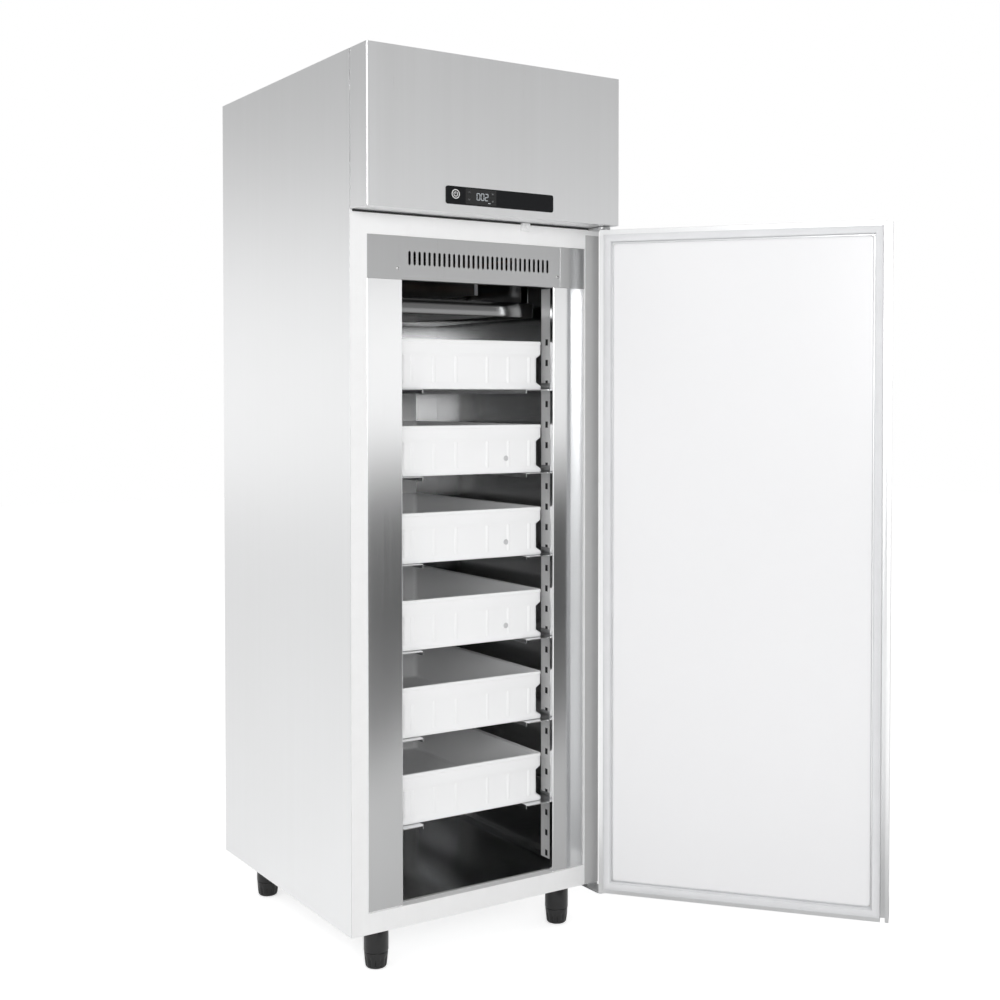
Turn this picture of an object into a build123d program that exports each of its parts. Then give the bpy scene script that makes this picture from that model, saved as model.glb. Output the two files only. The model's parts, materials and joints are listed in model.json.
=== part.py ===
from build123d import *
import math
import os

# Upright refrigerator for fish crates. Millimetres, +Z up, front towards -Y.
# The origin is the centre of the cabinet's underside, where the legs are screwed on.

# Cabinet body
BODY_WIDTH = 680.0
BODY_DEPTH = 730.0
FASCIA_HEIGHT = 349.5
SHEET = 1.0
SEAM = 0.3
BOTTOM_RAIL = 47.0
OPENING_HEIGHT = 1510.0
TOP_RAIL = 50.5
JAMB = 42.5
FRAME_SHEET = 2.0
SIDE_WALL = 76.0
BACK_WALL = 76.0
FLOOR_WALL = 50.0
ROOF_WALL = 76.0
LINER_SHEET = 1.0
LINER_STEP = 26.0
LINER_CORNER = 18.0
PANEL_FLANGE = 18.0
CORNER_FLATS = 2
ROUND_SIDES = 24
SLOT_CORNER_SHARE = 0.45

HALF_WIDTH = BODY_WIDTH / 2
FRONT = -BODY_DEPTH / 2
BACK = BODY_DEPTH / 2
INNER_SKIN = HALF_WIDTH - SHEET
OPENING_HALF = HALF_WIDTH - JAMB
OPENING_LOW = BOTTOM_RAIL
OPENING_HIGH = BOTTOM_RAIL + OPENING_HEIGHT
FASCIA_LOW = OPENING_HIGH + TOP_RAIL
BODY_HEIGHT = FASCIA_LOW + FASCIA_HEIGHT
CAVITY_HALF = HALF_WIDTH - SIDE_WALL
CAVITY_BACK = BACK - BACK_WALL
CAVITY_LOW = FLOOR_WALL
CAVITY_HIGH = OPENING_HIGH
DECK_TOP = OPENING_HIGH + ROOF_WALL

# Louvred panel behind the machine compartment
LOUVRE_COLUMNS = 2
LOUVRE_ROWS = 8
LOUVRE_LENGTH = 210.0
LOUVRE_HEIGHT = 8.0
LOUVRE_PITCH_X = 280.0
LOUVRE_PITCH_Z = 24.0
LOUVRE_OFFSET = 25.0

# Legs
FOOT_FRONT_INSET = 89.0
FOOT_REAR_INSET = 70.0
FOOT_FRONT_SETBACK = 52.0
FOOT_REAR_SETBACK = 114.0
FOOT_HEIGHT = 98.0
SLEEVE_HEIGHT = 60.0
SLEEVE_RADIUS = 28.5
SLEEVE_WALL = 4.0
BEAD_WIDTH = 400.0
BEAD_LENGTH = 440.0
BEAD_Y = -20.0
BEAD_GROOVE = 20.0
BEAD_DEPTH = 3.0
SLEEVE_FLANGE = 68.0
SLEEVE_CORNER = 12.0
SLEEVE_FLANGE_THICK = 3.0
FOOT_SHOULDER_RADIUS = 27.5
FOOT_TREAD_RADIUS = 24.0
FOOT_STEM_RADIUS = 12.0
FOOT_STEM_LENGTH = 48.0
FOOT_FIT = 0.05

# Door
DOOR_SIDE_GAP = 1.0
DOOR_TOP_GAP = 9.7
DOOR_DROP = 4.7
DOOR_THICK = 64.0
DOOR_GAP = 14.0
DOOR_SHEET = 1.2
DOOR_EDGE_RADIUS = 3.0
DOOR_OPEN_ANGLE = 130.0
DOOR_LINER_THICK = 3.0
DOOR_LINER_PROUD = 3.5
DOOR_LINER_RADIUS = 6.0
PIVOT_FROM_SIDE = 9.5
PIVOT_FROM_INNER = 28.5
GRIP_LIP = 8.5
GRIP_WIDTH = 10.5
GRIP_DEPTH = 30.0
GASKET_INSET = 12.0
GASKET_WIDTH = 19.0
GASKET_WAIST = 11.0
GASKET_BASE = 4.0
GASKET_HEAD = 5.0
LINER_GROOVE = 2.5
CONTACT_GAP = 0.3

DOOR_HALF = HALF_WIDTH - DOOR_SIDE_GAP
DOOR_LOW = -DOOR_DROP
DOOR_HIGH = FASCIA_LOW - DOOR_TOP_GAP
DOOR_INNER = FRONT - DOOR_GAP
DOOR_OUTER = DOOR_INNER - DOOR_THICK
PIVOT_X = DOOR_HALF - PIVOT_FROM_SIDE
PIVOT_Y = DOOR_INNER - PIVOT_FROM_INNER
GRIP_SIDE = -DOOR_HALF
GASKET_LEFT = GRIP_SIDE + GRIP_LIP + GRIP_WIDTH
GASKET_RIGHT = DOOR_HALF - GASKET_INSET
GASKET_BOTTOM = DOOR_LOW + GASKET_INSET
GASKET_TOP = DOOR_HIGH - GASKET_INSET

# Hinges
PIN_RADIUS = 5.0
PIN_LENGTH = 16.0
PIN_FIT = 0.05
BUSH_HALF = 8.0
BUSH_CORNER = 3.0
BUSH_LENGTH = 18.0
HINGE_PLATE = 4.0
HINGE_PLATE_WIDTH = 34.0
HINGE_PLATE_NOSE = 10.0
HINGE_BASE_LENGTH = 45.0
HINGE_BASE_WIDTH = 30.0
HINGE_RISE = 42.0
HINGE_CLEAR_LOW = 1.3
HINGE_CLEAR_HIGH = 4.2
HINGE_LEG_MARGIN = 4.0

# Inner front panels
FILLER_OVERLAP = 11.0
FILLER_SETBACK = 4.0
FILLER_SHEET = 1.0
FILLER_RETURN = 13.0
GRILLE_HEIGHT = 97.0
GRILLE_SETBACK = 3.0
GRILLE_SHEET = 1.2
GRILLE_RETURN = 22.0
GRILLE_SLOTS = 30
GRILLE_SLOT_PITCH = 13.0
GRILLE_SLOT_WIDTH = 6.4
GRILLE_SLOT_HEIGHT = 32.0
GRILLE_SLOT_CENTRE = 49.0
GRILLE_LOW = OPENING_HIGH - GRILLE_HEIGHT

# Rack
UPRIGHT_DEPTH = 47.0
UPRIGHT_WIDTH = 44.0
UPRIGHT_SETBACK = 26.0
UPRIGHT_SHEET = 1.2
REAR_UPRIGHT_INSET = 49.0
REAR_UPRIGHT_DEPTH = 10.0
HOLE_PITCH = 50.0
HOLE_FIRST_Z = 80.0
HOLE_TOP_MARGIN = 26.0
HOLE_WIDTH = 12.0
HOLE_HEIGHT = 15.0
SLIDE_WIDTH = 75.0
SLIDE_FRONT = 18.0
SLIDE_SHEET = 1.5
SLIDE_LIP = 10.0
SLIDE_UPSTAND = 16.0
SLIDE_HOOK_WIDTH = 8.0
SLIDE_HOOK_HEIGHT = 8.5
SLIDE_HOOK_REACH = 5.0
SLIDE_CORNER = 6.0
SLIDE_BELOW_HOLE = 15.0
SLIDE_REAR_TAB = 40.0

# Crates
CRATE_STEP_HOLES = 4
CRATE_LOWEST_HOLE = 3
CRATE_TOP_HOLES = 2
CRATE_SIDE_GAP = 17.0
CRATE_REAR_GAP = 4.0
CRATE_HEIGHT = 116.0
CRATE_FRONT = 40.0
CRATE_CORNER = 10.0
CRATE_INNER_CORNER = 12.0
CRATE_RIM = 31.0
CRATE_RECESS = 12.0
CRATE_END_RECESS = 2.0
CRATE_SLOPE = 9.0
CRATE_BASE_BAND = 8.0
CRATE_WALL = 4.0
CRATE_FLOOR = 4.0
CRATE_RIB = 4.0
CRATE_RIB_SINK = 2.5
CRATE_END_RIB = 9.0
CRATE_END_RIB_SINK = 0.5
CRATE_END_RIBS = 3
CRATE_END_RIB_FIRST = 43.0
CRATE_END_RIB_PITCH = 59.5
CRATE_SIDE_RIBS = 2
CRATE_SIDE_RIB_PITCH = 200.0
CRATE_REST = 0.1

# Cooling unit inside the cabinet
TRAY_FRONT = 110.0
TRAY_REAR_GAP = 54.0
TRAY_SIDE_GAP = 42.0
TRAY_DROP = 165.0
TRAY_WALL = 36.0
RACK_TOP_GAP = 36.0
TRAY_SHEET = 1.2
TRAY_HANGER = 30.0
TRAY_HANGER_INSET = 40.0
COIL_SIDE_INSET = 22.0
COIL_REAR_INSET = 40.0
FAN_COIL_GAP = 25.0
COIL_HEIGHT = 95.0
COIL_FINS = 13
COIL_FIN = 2.0
COIL_CORE_MARGIN = 8.0
COIL_PLATE = 3.0
FAN_HUB_RADIUS = 26.0
FAN_HUB_HEIGHT = 26.0
FAN_BLADES = 5
FAN_BLADE_THICK = 2.0
FAN_BLADE_PITCH = 26.0
FAN_BLADE_ROOT = 26.0
FAN_BLADE_CHORD = 46.0
FAN_SHAFT_RADIUS = 4.0
FAN_SHAFT_FIT = 0.05
MOTOR_GAP = 3.0
MOTOR_SHAFT_REACH = 20.0
EVAPORATOR_FAN_RADIUS = 95.0
EVAPORATOR_FAN_Y = 230.0
EVAPORATOR_MOTOR_HALF = 34.0
MOTOR_CORNER = 12.0
EVAPORATOR_MOTOR_HEIGHT = 42.0

# Machine compartment
CONDENSER_SIDE_GAP = 29.0
CONDENSER_WIDTH = 260.0
CONDENSER_HEIGHT = 240.0
CONDENSER_DEPTH = 60.0
CONDENSER_SETBACK = 20.0
CONDENSER_FINS = 13
SHROUD_SHEET = 2.0
SHROUD_RING = 28.0
SHROUD_SIDES = 36
SHROUD_GAP = 5.0
CONDENSER_FAN_RADIUS = 100.0
CONDENSER_FAN_STANDOFF = 12.0
CONDENSER_MOTOR_HALF = 36.0
CONDENSER_MOTOR_LENGTH = 55.0
MOTOR_ARM = 12.0
MOTOR_ARM_THICK = 3.0
COMPRESSOR_X = -180.0
COMPRESSOR_REAR = 205.0
COMPRESSOR_RADIUS = 88.0
COMPRESSOR_HEIGHT = 190.0
COMPRESSOR_SEAM_Z = 105.0
COMPRESSOR_SEAM = 5.0
COMPRESSOR_DOME = 40.0
DOME_BANDS = 2
COMPRESSOR_PAD = 16.0
COMPRESSOR_PLATE = 4.0
COMPRESSOR_PLATE_LENGTH = 230.0
COMPRESSOR_PLATE_WIDTH = 150.0
COMPRESSOR_PAD_RADIUS = 14.0
COMPRESSOR_PAD_INSET = 20.0
PIPE_RADIUS = 5.0
PIPE_BEND = 25.0
PIPE_FIT = 0.3
PIPE_ROOF_X = 120.0
PIPE_ROOF_Y = 60.0
PIPE_LOOP = 50.0
PIPE_SPACING = 40.0
DRIER_RADIUS = 16.0
DRIER_LENGTH = 110.0
DRIER_NECK = 10.0
DRIER_FRONT = 150.0
DRIER_X = 20.0
DRIER_RISE = 30.0
DRIER_SADDLE_WIDTH = 24.0
DRIER_SADDLE_LENGTH = 30.0
DRIER_SADDLE_FOOT = 3.0
MANIFOLD = 22.0
SUCTION_RISE = 70.0
BOX_SIDE_GAP = 39.0
BOX_WIDTH = 230.0
BOX_DEPTH = 130.0
BOX_HEIGHT = 120.0
BOX_SETBACK = 30.0
BOX_CORNER = 8.0
BOX_LID = 3.0
BOX_LID_OVERLAP = 3.0
INLET_X = 200.0
INLET_RISE = 57.0
INLET_WIDTH = 30.0
INLET_HEIGHT = 24.0
INLET_DEPTH = 26.0
INLET_FLANGE = 10.0
INLET_FLANGE_THICK = 2.5
INLET_SOCKET_DEPTH = 16.0
INLET_WALL = 3.0
INLET_PIN_WIDTH = 2.0
INLET_PIN_HEIGHT = 4.0
INLET_PIN_LENGTH = 12.0
INLET_PIN_SPREAD = 7.0
INLET_PIN_RISE = 2.5

# Places that follow from the sizes above
COMPRESSOR_Y = BACK - COMPRESSOR_REAR
INLET_Z = DECK_TOP + INLET_RISE
UPRIGHT_FACE = CAVITY_HALF - UPRIGHT_DEPTH
FILLER_INNER = UPRIGHT_FACE - FILLER_OVERLAP
REAR_UPRIGHT_CENTRE = UPRIGHT_FACE - REAR_UPRIGHT_INSET
REAR_UPRIGHT_FACE = CAVITY_BACK - REAR_UPRIGHT_DEPTH
SLIDE_INNER = UPRIGHT_FACE - SLIDE_WIDTH
CRATE_WIDTH = 2 * (UPRIGHT_FACE - CRATE_SIDE_GAP)
CRATE_LENGTH = REAR_UPRIGHT_FACE - CRATE_REAR_GAP - FRONT - CRATE_FRONT
TRAY_HALF = CAVITY_HALF - TRAY_SIDE_GAP
TRAY_BACK = CAVITY_BACK - TRAY_REAR_GAP
TRAY_LOW = CAVITY_HIGH - TRAY_DROP
RACK_HIGH = TRAY_LOW - RACK_TOP_GAP
HOLE_COUNT = int((RACK_HIGH - HOLE_TOP_MARGIN - HOLE_FIRST_Z) / HOLE_PITCH) + 1
COIL_HALF = TRAY_HALF - COIL_SIDE_INSET
COIL_FRONT = FRONT + EVAPORATOR_FAN_Y + EVAPORATOR_FAN_RADIUS + FAN_COIL_GAP
COIL_BACK = TRAY_BACK - COIL_REAR_INSET

# Service fascia and its controls
FASCIA_DEPTH = 80.0
FASCIA_SHEET = 1.5
FASCIA_BACK_GAP = 2.0
FASCIA_PIVOT_BACK = 6.0
FASCIA_PIVOT_DOWN = 3.5
FASCIA_TRIM = 0.5
FASCIA_LIP = 14.0
FASCIA_LIP_END = 42.0
FASCIA_NOTCH = 2.0
FASCIA_PIN_RADIUS = 1.5
FASCIA_PIN_FIT = 0.05
FASCIA_EYE_RADIUS = 3.3
FASCIA_ARM_INSET = 14.0
FASCIA_ARM_WIDTH = 8.0
FASCIA_ARM_CLEAR = 1.0
LABEL_LEFT = -144.0
LABEL_WIDTH = 290.0
LABEL_HEIGHT = 40.0
LABEL_ABOVE = 17.5
LABEL_THICK = 1.5
LABEL_CORNER = 5.0
WINDOW_LEFT = -93.0
WINDOW_WIDTH = 81.0
WINDOW_HEIGHT = 35.0
WINDOW_THICK = 0.8
WINDOW_CORNER = 2.0
KEY_WIDTH = 10.0
KEY_HEIGHT = 8.0
KEY_PROUD = 1.0
KEY_CLEAR = 0.3
KEY_LEFT_X = -84.0
KEY_RIGHT_X = -22.0
KEY_UPPER = 29.0
KEY_LOWER = 12.5
POWER_X = -119.0
POWER_ABOVE = 22.5
POWER_RADIUS = 11.0
CONTROLLER_DEPTH = 45.0
CONTROLLER_POCKET = 1.2
CONTROLLER_MARGIN = 4.0
CONTROLLER_HEIGHT = 36.0

# Door switch
SWITCH_X = 119.0
SWITCH_WIDTH = 22.0
SWITCH_HEIGHT = 18.0
SWITCH_DEPTH = 10.0
SWITCH_TOP_GAP = 1.0
SWITCH_BUTTON_RADIUS = 4.0
SWITCH_BUTTON_PROUD = 3.5
SWITCH_BUTTON_LENGTH = 8.0
SWITCH_FIT = 0.05
SWITCH_BORE = 8.0
SWITCH_CORNER = 2.0

# Screws
SCREW_RADIUS = 4.0
SCREW_HEAD = 1.8
GRILLE_SCREW_X = 218.5
GRILLE_SCREW_ABOVE = 25.0
LOUVRE_SCREW_INSET = 9.0
LOUVRE_SCREW_PITCH = 125.0


def block(x0, x1, y0, y1, z0, z1):
    """Box between two opposite corners."""
    middle = Pos((x0 + x1) / 2, (y0 + y1) / 2, (z0 + z1) / 2)
    return middle * Box(x1 - x0, y1 - y0, z1 - z0)


def along_y(sketch, y0, y1):
    """X-Z sketch made into a solid from y0 to y1."""
    plane = Plane(origin=(0, y1, 0), x_dir=(1, 0, 0), z_dir=(0, -1, 0))
    return extrude(plane * sketch, amount=y1 - y0)


def along_x(sketch, x0, x1):
    """Y-Z sketch made into a solid from x0 to x1."""
    return extrude(Plane.YZ.offset(x0) * sketch, amount=x1 - x0)


def along_z(sketch, z0, z1):
    """X-Y sketch made into a solid from z0 to z1."""
    return extrude(Plane.XY.offset(z0) * sketch, amount=z1 - z0)


def rod_z(radius, x, y, z0, z1):
    return Pos(x, y, (z0 + z1) / 2) * Cylinder(radius, z1 - z0)


def rod_y(radius, x, z, y0, y1):
    return Pos(x, (y0 + y1) / 2, z) * Rot(90, 0, 0) * Cylinder(radius, y1 - y0)


def rod_x(radius, y, z, x0, x1):
    return Pos((x0 + x1) / 2, y, z) * Rot(0, 90, 0) * Cylinder(radius, x1 - x0)


def spread(places, sketch):
    """One sketch repeated at every place."""
    return Sketch() + [place * sketch for place in places]


def corner_points(width, height, corner, flats=CORNER_FLATS):
    """Outline of a rectangle whose corners are turned in a few flats."""
    points = []
    for sx, sy, first in ((1, 1, 0), (-1, 1, 90), (-1, -1, 180), (1, -1, 270)):
        for i in range(flats + 1):
            angle = math.radians(first + 90 * i / flats)
            x = sx * (width / 2 - corner) + corner * math.cos(angle)
            y = sy * (height / 2 - corner) + corner * math.sin(angle)
            points.append((x, y))
    return points


def flat_cornered(width, height, corner, flats=CORNER_FLATS):
    return make_face(Polyline(*corner_points(width, height, corner, flats), close=True))


def flat_loft(low_points, z0, high_points, z1):
    """Solid with flat walls between two outlines whose edges run parallel in pairs."""
    low = [Vector(x, y, z0) for x, y in low_points]
    high = [Vector(x, y, z1) for x, y in high_points]
    walls = [[low[i - 1], low[i], high[i], high[i - 1]] for i in range(len(low))]
    return Solid(Shell([Face(Wire.make_polygon(corners)) for corners in [low, high] + walls]))


def ring_points(radius):
    """Corners of a many-sided circle."""
    angles = [math.tau * i / ROUND_SIDES for i in range(ROUND_SIDES)]
    return [(radius * math.cos(angle), radius * math.sin(angle)) for angle in angles]


def tapered(radius_low, radius_high, z0, z1):
    """Many-sided cone or column about the Z axis."""
    return flat_loft(ring_points(radius_low), z0, ring_points(radius_high), z1)


def flat_slot(length, width):
    """Slot along X with chamfered ends."""
    return flat_cornered(length, width, width * SLOT_CORNER_SHARE, 1)


def mirrored(shape):
    """The same piece for the other side of the cabinet."""
    return mirror(shape, about=Plane.YZ)


def hole_heights():
    return [HOLE_FIRST_Z + HOLE_PITCH * i for i in range(HOLE_COUNT)]


def rack_levels():
    """Height of the hole that carries each pair of slides, from the bottom up."""
    return hole_heights()[CRATE_LOWEST_HOLE : HOLE_COUNT - CRATE_TOP_HOLES : CRATE_STEP_HOLES]


def ledge_top(level):
    return level - SLIDE_BELOW_HOLE


# Cabinet shell


def side_panel_right():
    """Outer side sheet with stiffening flanges round the machine compartment."""
    panel = block(INNER_SKIN, HALF_WIDTH, FRONT, BACK, 0, BODY_HEIGHT)
    flange_in = INNER_SKIN - PANEL_FLANGE
    top = block(flange_in, INNER_SKIN, FRONT, BACK - SHEET, BODY_HEIGHT - SHEET, BODY_HEIGHT)
    front = block(flange_in, INNER_SKIN, FRONT, FRONT + SHEET, DECK_TOP, BODY_HEIGHT - SHEET)
    rear_face = BACK - SHEET
    rear = block(flange_in, INNER_SKIN, rear_face - SHEET, rear_face, DECK_TOP, BODY_HEIGHT - SHEET)
    return panel + top + front + rear


def rear_panel():
    return block(-INNER_SKIN, INNER_SKIN, BACK - SHEET, BACK, 0, DECK_TOP)


def base_bead(width, z0, z1):
    """Ring pressed into the base panel, round the field between the legs."""
    length = BEAD_LENGTH
    outer = Rectangle(BEAD_WIDTH + width / 2, length + width / 2)
    inner = Rectangle(BEAD_WIDTH - width / 2, length - width / 2)
    return along_z(Pos(0, BEAD_Y) * (outer - inner), z0, z1)


def base_panel():
    """Flat sheet with one stiffening bead pressed up into it."""
    sheet = block(-INNER_SKIN, INNER_SKIN, FRONT + FRAME_SHEET, BACK - SHEET, 0, SHEET)
    raised = base_bead(BEAD_GROOVE + 2 * SHEET, 0, BEAD_DEPTH + SHEET)
    return sheet + raised - base_bead(BEAD_GROOVE, -SHEET, BEAD_DEPTH)


def pipe_places():
    """Where the two refrigerant lines go down through the roof."""
    return [(PIPE_ROOF_X, PIPE_ROOF_Y), (PIPE_ROOF_X + PIPE_SPACING, PIPE_ROOF_Y)]


def pipe_holes(z0, z1):
    """Eight-sided holes that the lines pass through."""
    hole = RegularPolygon(PIPE_RADIUS + PIPE_FIT, 8)
    return along_z(spread([Pos(x, y) for x, y in pipe_places()], hole), z0, z1)


def deck_panel():
    """Sheet on top of the insulated roof, the floor of the machine compartment."""
    sheet = block(-INNER_SKIN, INNER_SKIN, FRONT, BACK - SHEET, DECK_TOP - SHEET, DECK_TOP)
    return sheet - pipe_holes(DECK_TOP - 2 * SHEET, DECK_TOP + SHEET)


def front_frame():
    """Flat frame that the gasket meets, with a lip turned into the opening."""
    plate = block(-INNER_SKIN, INNER_SKIN, FRONT, FRONT + FRAME_SHEET, 0, DECK_TOP - SHEET)
    lip_x = OPENING_HALF + FRAME_SHEET
    lip_low = OPENING_LOW - FRAME_SHEET
    lip_high = OPENING_HIGH + FRAME_SHEET
    lip_back = FRONT + LINER_STEP - LINER_SHEET
    lip = block(-lip_x, lip_x, FRONT, lip_back, lip_low, lip_high)
    hole = block(-OPENING_HALF, OPENING_HALF, FRONT - SHEET, lip_back + SHEET, OPENING_LOW, OPENING_HIGH)
    return plate + lip - hole


def cavity_section(grow):
    """Coved X-Z outline of the inner tub, grown by a sheet thickness."""
    height = CAVITY_HIGH - CAVITY_LOW + 2 * grow
    outline = flat_cornered(2 * (CAVITY_HALF + grow), height, LINER_CORNER + grow)
    return Pos(0, (CAVITY_LOW + CAVITY_HIGH) / 2) * outline


def insulation_body():
    """Foam between the outer sheets and the inner tub: two walls, floor, back and roof."""
    foam_front = FRONT + FRAME_SHEET
    foam = block(-INNER_SKIN, INNER_SKIN, foam_front, BACK - SHEET, SHEET, DECK_TOP - SHEET)
    pocket_x = OPENING_HALF + FRAME_SHEET
    pocket_low = OPENING_LOW - FRAME_SHEET
    pocket_high = OPENING_HIGH + FRAME_SHEET
    step = FRONT + LINER_STEP
    pocket = block(-pocket_x, pocket_x, foam_front - SHEET, step, pocket_low, pocket_high)
    tub = along_y(cavity_section(LINER_SHEET), foam_front, CAVITY_BACK + LINER_SHEET)
    foam -= base_bead(BEAD_GROOVE + 2 * SHEET, 0, BEAD_DEPTH + SHEET)
    foam = foam - pocket - tub - pipe_holes(CAVITY_HIGH, DECK_TOP)
    side = CAVITY_HALF - LINER_CORNER
    floor, roof = CAVITY_LOW - LINER_SHEET, CAVITY_HIGH + LINER_SHEET
    fields = [
        block(-HALF_WIDTH, -side, FRONT, BACK, 0, DECK_TOP),
        block(side, HALF_WIDTH, FRONT, BACK, 0, DECK_TOP),
        block(-side, side, FRONT, BACK, 0, floor),
        block(-side, side, FRONT, BACK, floor, roof),
        block(-side, side, FRONT, BACK, roof, DECK_TOP),
    ]
    return Compound([(foam & field).solids()[0] for field in fields])


def inner_liner():
    """Stainless tub with coved long edges and a flange behind the frame's lip."""
    step = FRONT + LINER_STEP
    flange_x = OPENING_HALF + FRAME_SHEET
    flange_low = OPENING_LOW - FRAME_SHEET
    flange_high = OPENING_HIGH + FRAME_SHEET
    flange = block(-flange_x, flange_x, step - LINER_SHEET, step, flange_low, flange_high)
    tub = along_y(cavity_section(LINER_SHEET), step - LINER_SHEET, CAVITY_BACK + LINER_SHEET)
    hollow = along_y(cavity_section(0), step - 2 * LINER_SHEET, CAVITY_BACK)
    return flange + tub - hollow - pipe_holes(CAVITY_HIGH - LINER_SHEET, DECK_TOP)


def rear_louvre_panel():
    """Removable back of the machine compartment, slotted for the warm air."""
    panel = block(-INNER_SKIN, INNER_SKIN, BACK - SHEET, BACK, DECK_TOP + SEAM, BODY_HEIGHT - SHEET)
    slot = Rectangle(LOUVRE_LENGTH, LOUVRE_HEIGHT)
    grid = GridLocations(LOUVRE_PITCH_X, LOUVRE_PITCH_Z, LOUVRE_COLUMNS, LOUVRE_ROWS)
    slots = Pos(0, (DECK_TOP + BODY_HEIGHT) / 2 + LOUVRE_OFFSET) * spread(grid, slot)
    window = block(
        INLET_X - INLET_WIDTH / 2,
        INLET_X + INLET_WIDTH / 2,
        BACK - 2 * SHEET,
        BACK + SHEET,
        INLET_Z - INLET_HEIGHT / 2,
        INLET_Z + INLET_HEIGHT / 2,
    )
    return panel - along_y(slots, BACK - 2 * SHEET, BACK + SHEET) - window


# Legs


def foot_places():
    """Front left, front right, rear left and rear right."""
    front_x = HALF_WIDTH - FOOT_FRONT_INSET
    rear_x = HALF_WIDTH - FOOT_REAR_INSET
    front_y = FRONT + FOOT_FRONT_SETBACK
    rear_y = BACK - FOOT_REAR_SETBACK
    return {
        "front_left": (-front_x, front_y),
        "front_right": (front_x, front_y),
        "rear_left": (-rear_x, rear_y),
        "rear_right": (rear_x, rear_y),
    }


def leg_sleeve():
    """Plastic sleeve with a screw-on flange and a bored boss for the foot's stem."""
    tube = along_z(RegularPolygon(SLEEVE_RADIUS, ROUND_SIDES), -SLEEVE_HEIGHT, 0)
    flange = along_z(flat_cornered(SLEEVE_FLANGE, SLEEVE_FLANGE, SLEEVE_CORNER, 1), -SLEEVE_FLANGE_THICK, 0)
    bore = along_z(RegularPolygon(FOOT_STEM_RADIUS + FOOT_FIT, 6), -SLEEVE_HEIGHT - 1, -SLEEVE_WALL)
    return tube + flange - bore


def levelling_foot():
    """Foot with a six-sided stem inside the sleeve and a tapered tread below it."""
    shoulder_z = -SLEEVE_HEIGHT - CONTACT_GAP
    tread = tapered(FOOT_TREAD_RADIUS, FOOT_SHOULDER_RADIUS, -FOOT_HEIGHT, shoulder_z)
    stem = along_z(RegularPolygon(FOOT_STEM_RADIUS, 6), shoulder_z, -SLEEVE_HEIGHT + FOOT_STEM_LENGTH)
    return tread + stem


# Door, drawn closed and then swung open about its pivot


def swung(shape):
    """Turns a piece of the closed door to its open place."""
    pivot = Axis((PIVOT_X, PIVOT_Y, 0), (0, 0, 1))
    return shape.rotate(pivot, DOOR_OPEN_ANGLE)


def grip_channel(clear):
    """Full-height finger groove near the free edge, open to the door's inner face."""
    left = GRIP_SIDE + GRIP_LIP - clear
    right = GRIP_SIDE + GRIP_LIP + GRIP_WIDTH + clear
    back = DOOR_INNER - GRIP_DEPTH - clear
    return block(left, right, back, DOOR_INNER + clear + SHEET, DOOR_LOW - SHEET, DOOR_HIGH + SHEET)


def bush_block(z0, z1):
    """Square outside of a hinge bush, with chamfered corners."""
    outline = flat_cornered(2 * BUSH_HALF, 2 * BUSH_HALF, BUSH_CORNER, 1)
    return along_z(Pos(PIVOT_X, PIVOT_Y) * outline, z0, z1)


def bush_holes():
    """Seats for the two hinge bushes, in the door's ends."""
    low = bush_block(DOOR_LOW - SHEET, DOOR_LOW + BUSH_LENGTH)
    return low + bush_block(DOOR_HIGH - BUSH_LENGTH, DOOR_HIGH + SHEET)


def door_skin():
    """Folded stainless pan: front, four sides, inner border and finger groove."""
    outer = block(-DOOR_HALF, DOOR_HALF, DOOR_OUTER, DOOR_INNER, DOOR_LOW, DOOR_HIGH)
    front_edges = outer.edges().filter_by(Axis.Z).group_by(Axis.Y)[0]
    outer = fillet(front_edges, DOOR_EDGE_RADIUS)
    shell = outer - door_core_block() - grip_channel(0)
    return shell - door_liner_seat() - bush_holes()


def door_core_block():
    """The space inside the door's sheets."""
    core = block(
        -DOOR_HALF + DOOR_SHEET,
        DOOR_HALF - DOOR_SHEET,
        DOOR_OUTER + DOOR_SHEET,
        DOOR_INNER - DOOR_SHEET,
        DOOR_LOW + DOOR_SHEET,
        DOOR_HIGH - DOOR_SHEET,
    )
    return core - grip_channel(DOOR_SHEET)


def liner_outline():
    """Place of the smooth inner panel, inside the gasket."""
    left = GASKET_LEFT + GASKET_WIDTH + LINER_GROOVE
    right = GASKET_RIGHT - GASKET_WIDTH - LINER_GROOVE
    low = GASKET_BOTTOM + GASKET_WIDTH + LINER_GROOVE
    high = GASKET_TOP - GASKET_WIDTH - LINER_GROOVE
    panel = flat_cornered(right - left, high - low, DOOR_LINER_RADIUS)
    return Pos((left + right) / 2, (low + high) / 2) * panel


def door_liner_seat():
    return along_y(liner_outline(), DOOR_INNER - DOOR_LINER_THICK, DOOR_INNER + SHEET)


def door_core():
    """Foam filling of the door."""
    return door_core_block() - door_liner_seat() - bush_holes()


def door_inner_panel():
    """Smooth white panel that faces the crates when the door is shut."""
    return along_y(liner_outline(), DOOR_INNER - DOOR_LINER_THICK, DOOR_INNER + DOOR_LINER_PROUD)


def ring(inset, y0, y1):
    """Part of the gasket between two depths, drawn in from its full width on both sides."""
    outer = block(
        GASKET_LEFT + inset, GASKET_RIGHT - inset, y0, y1, GASKET_BOTTOM + inset, GASKET_TOP - inset
    )
    wide = GASKET_WIDTH - inset
    inner = block(
        GASKET_LEFT + wide,
        GASKET_RIGHT - wide,
        y0 - SHEET,
        y1 + SHEET,
        GASKET_BOTTOM + wide,
        GASKET_TOP - wide,
    )
    return outer - inner


def door_gasket():
    """Magnetic seal: a wide base, a narrow bellows and a wide head."""
    base_top = DOOR_INNER + GASKET_BASE
    head_low = FRONT - CONTACT_GAP - GASKET_HEAD
    waist = (GASKET_WIDTH - GASKET_WAIST) / 2
    seal = ring(0, DOOR_INNER, base_top) + ring(waist, base_top, head_low)
    return seal + ring(SHEET, head_low, FRONT - CONTACT_GAP)


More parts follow.
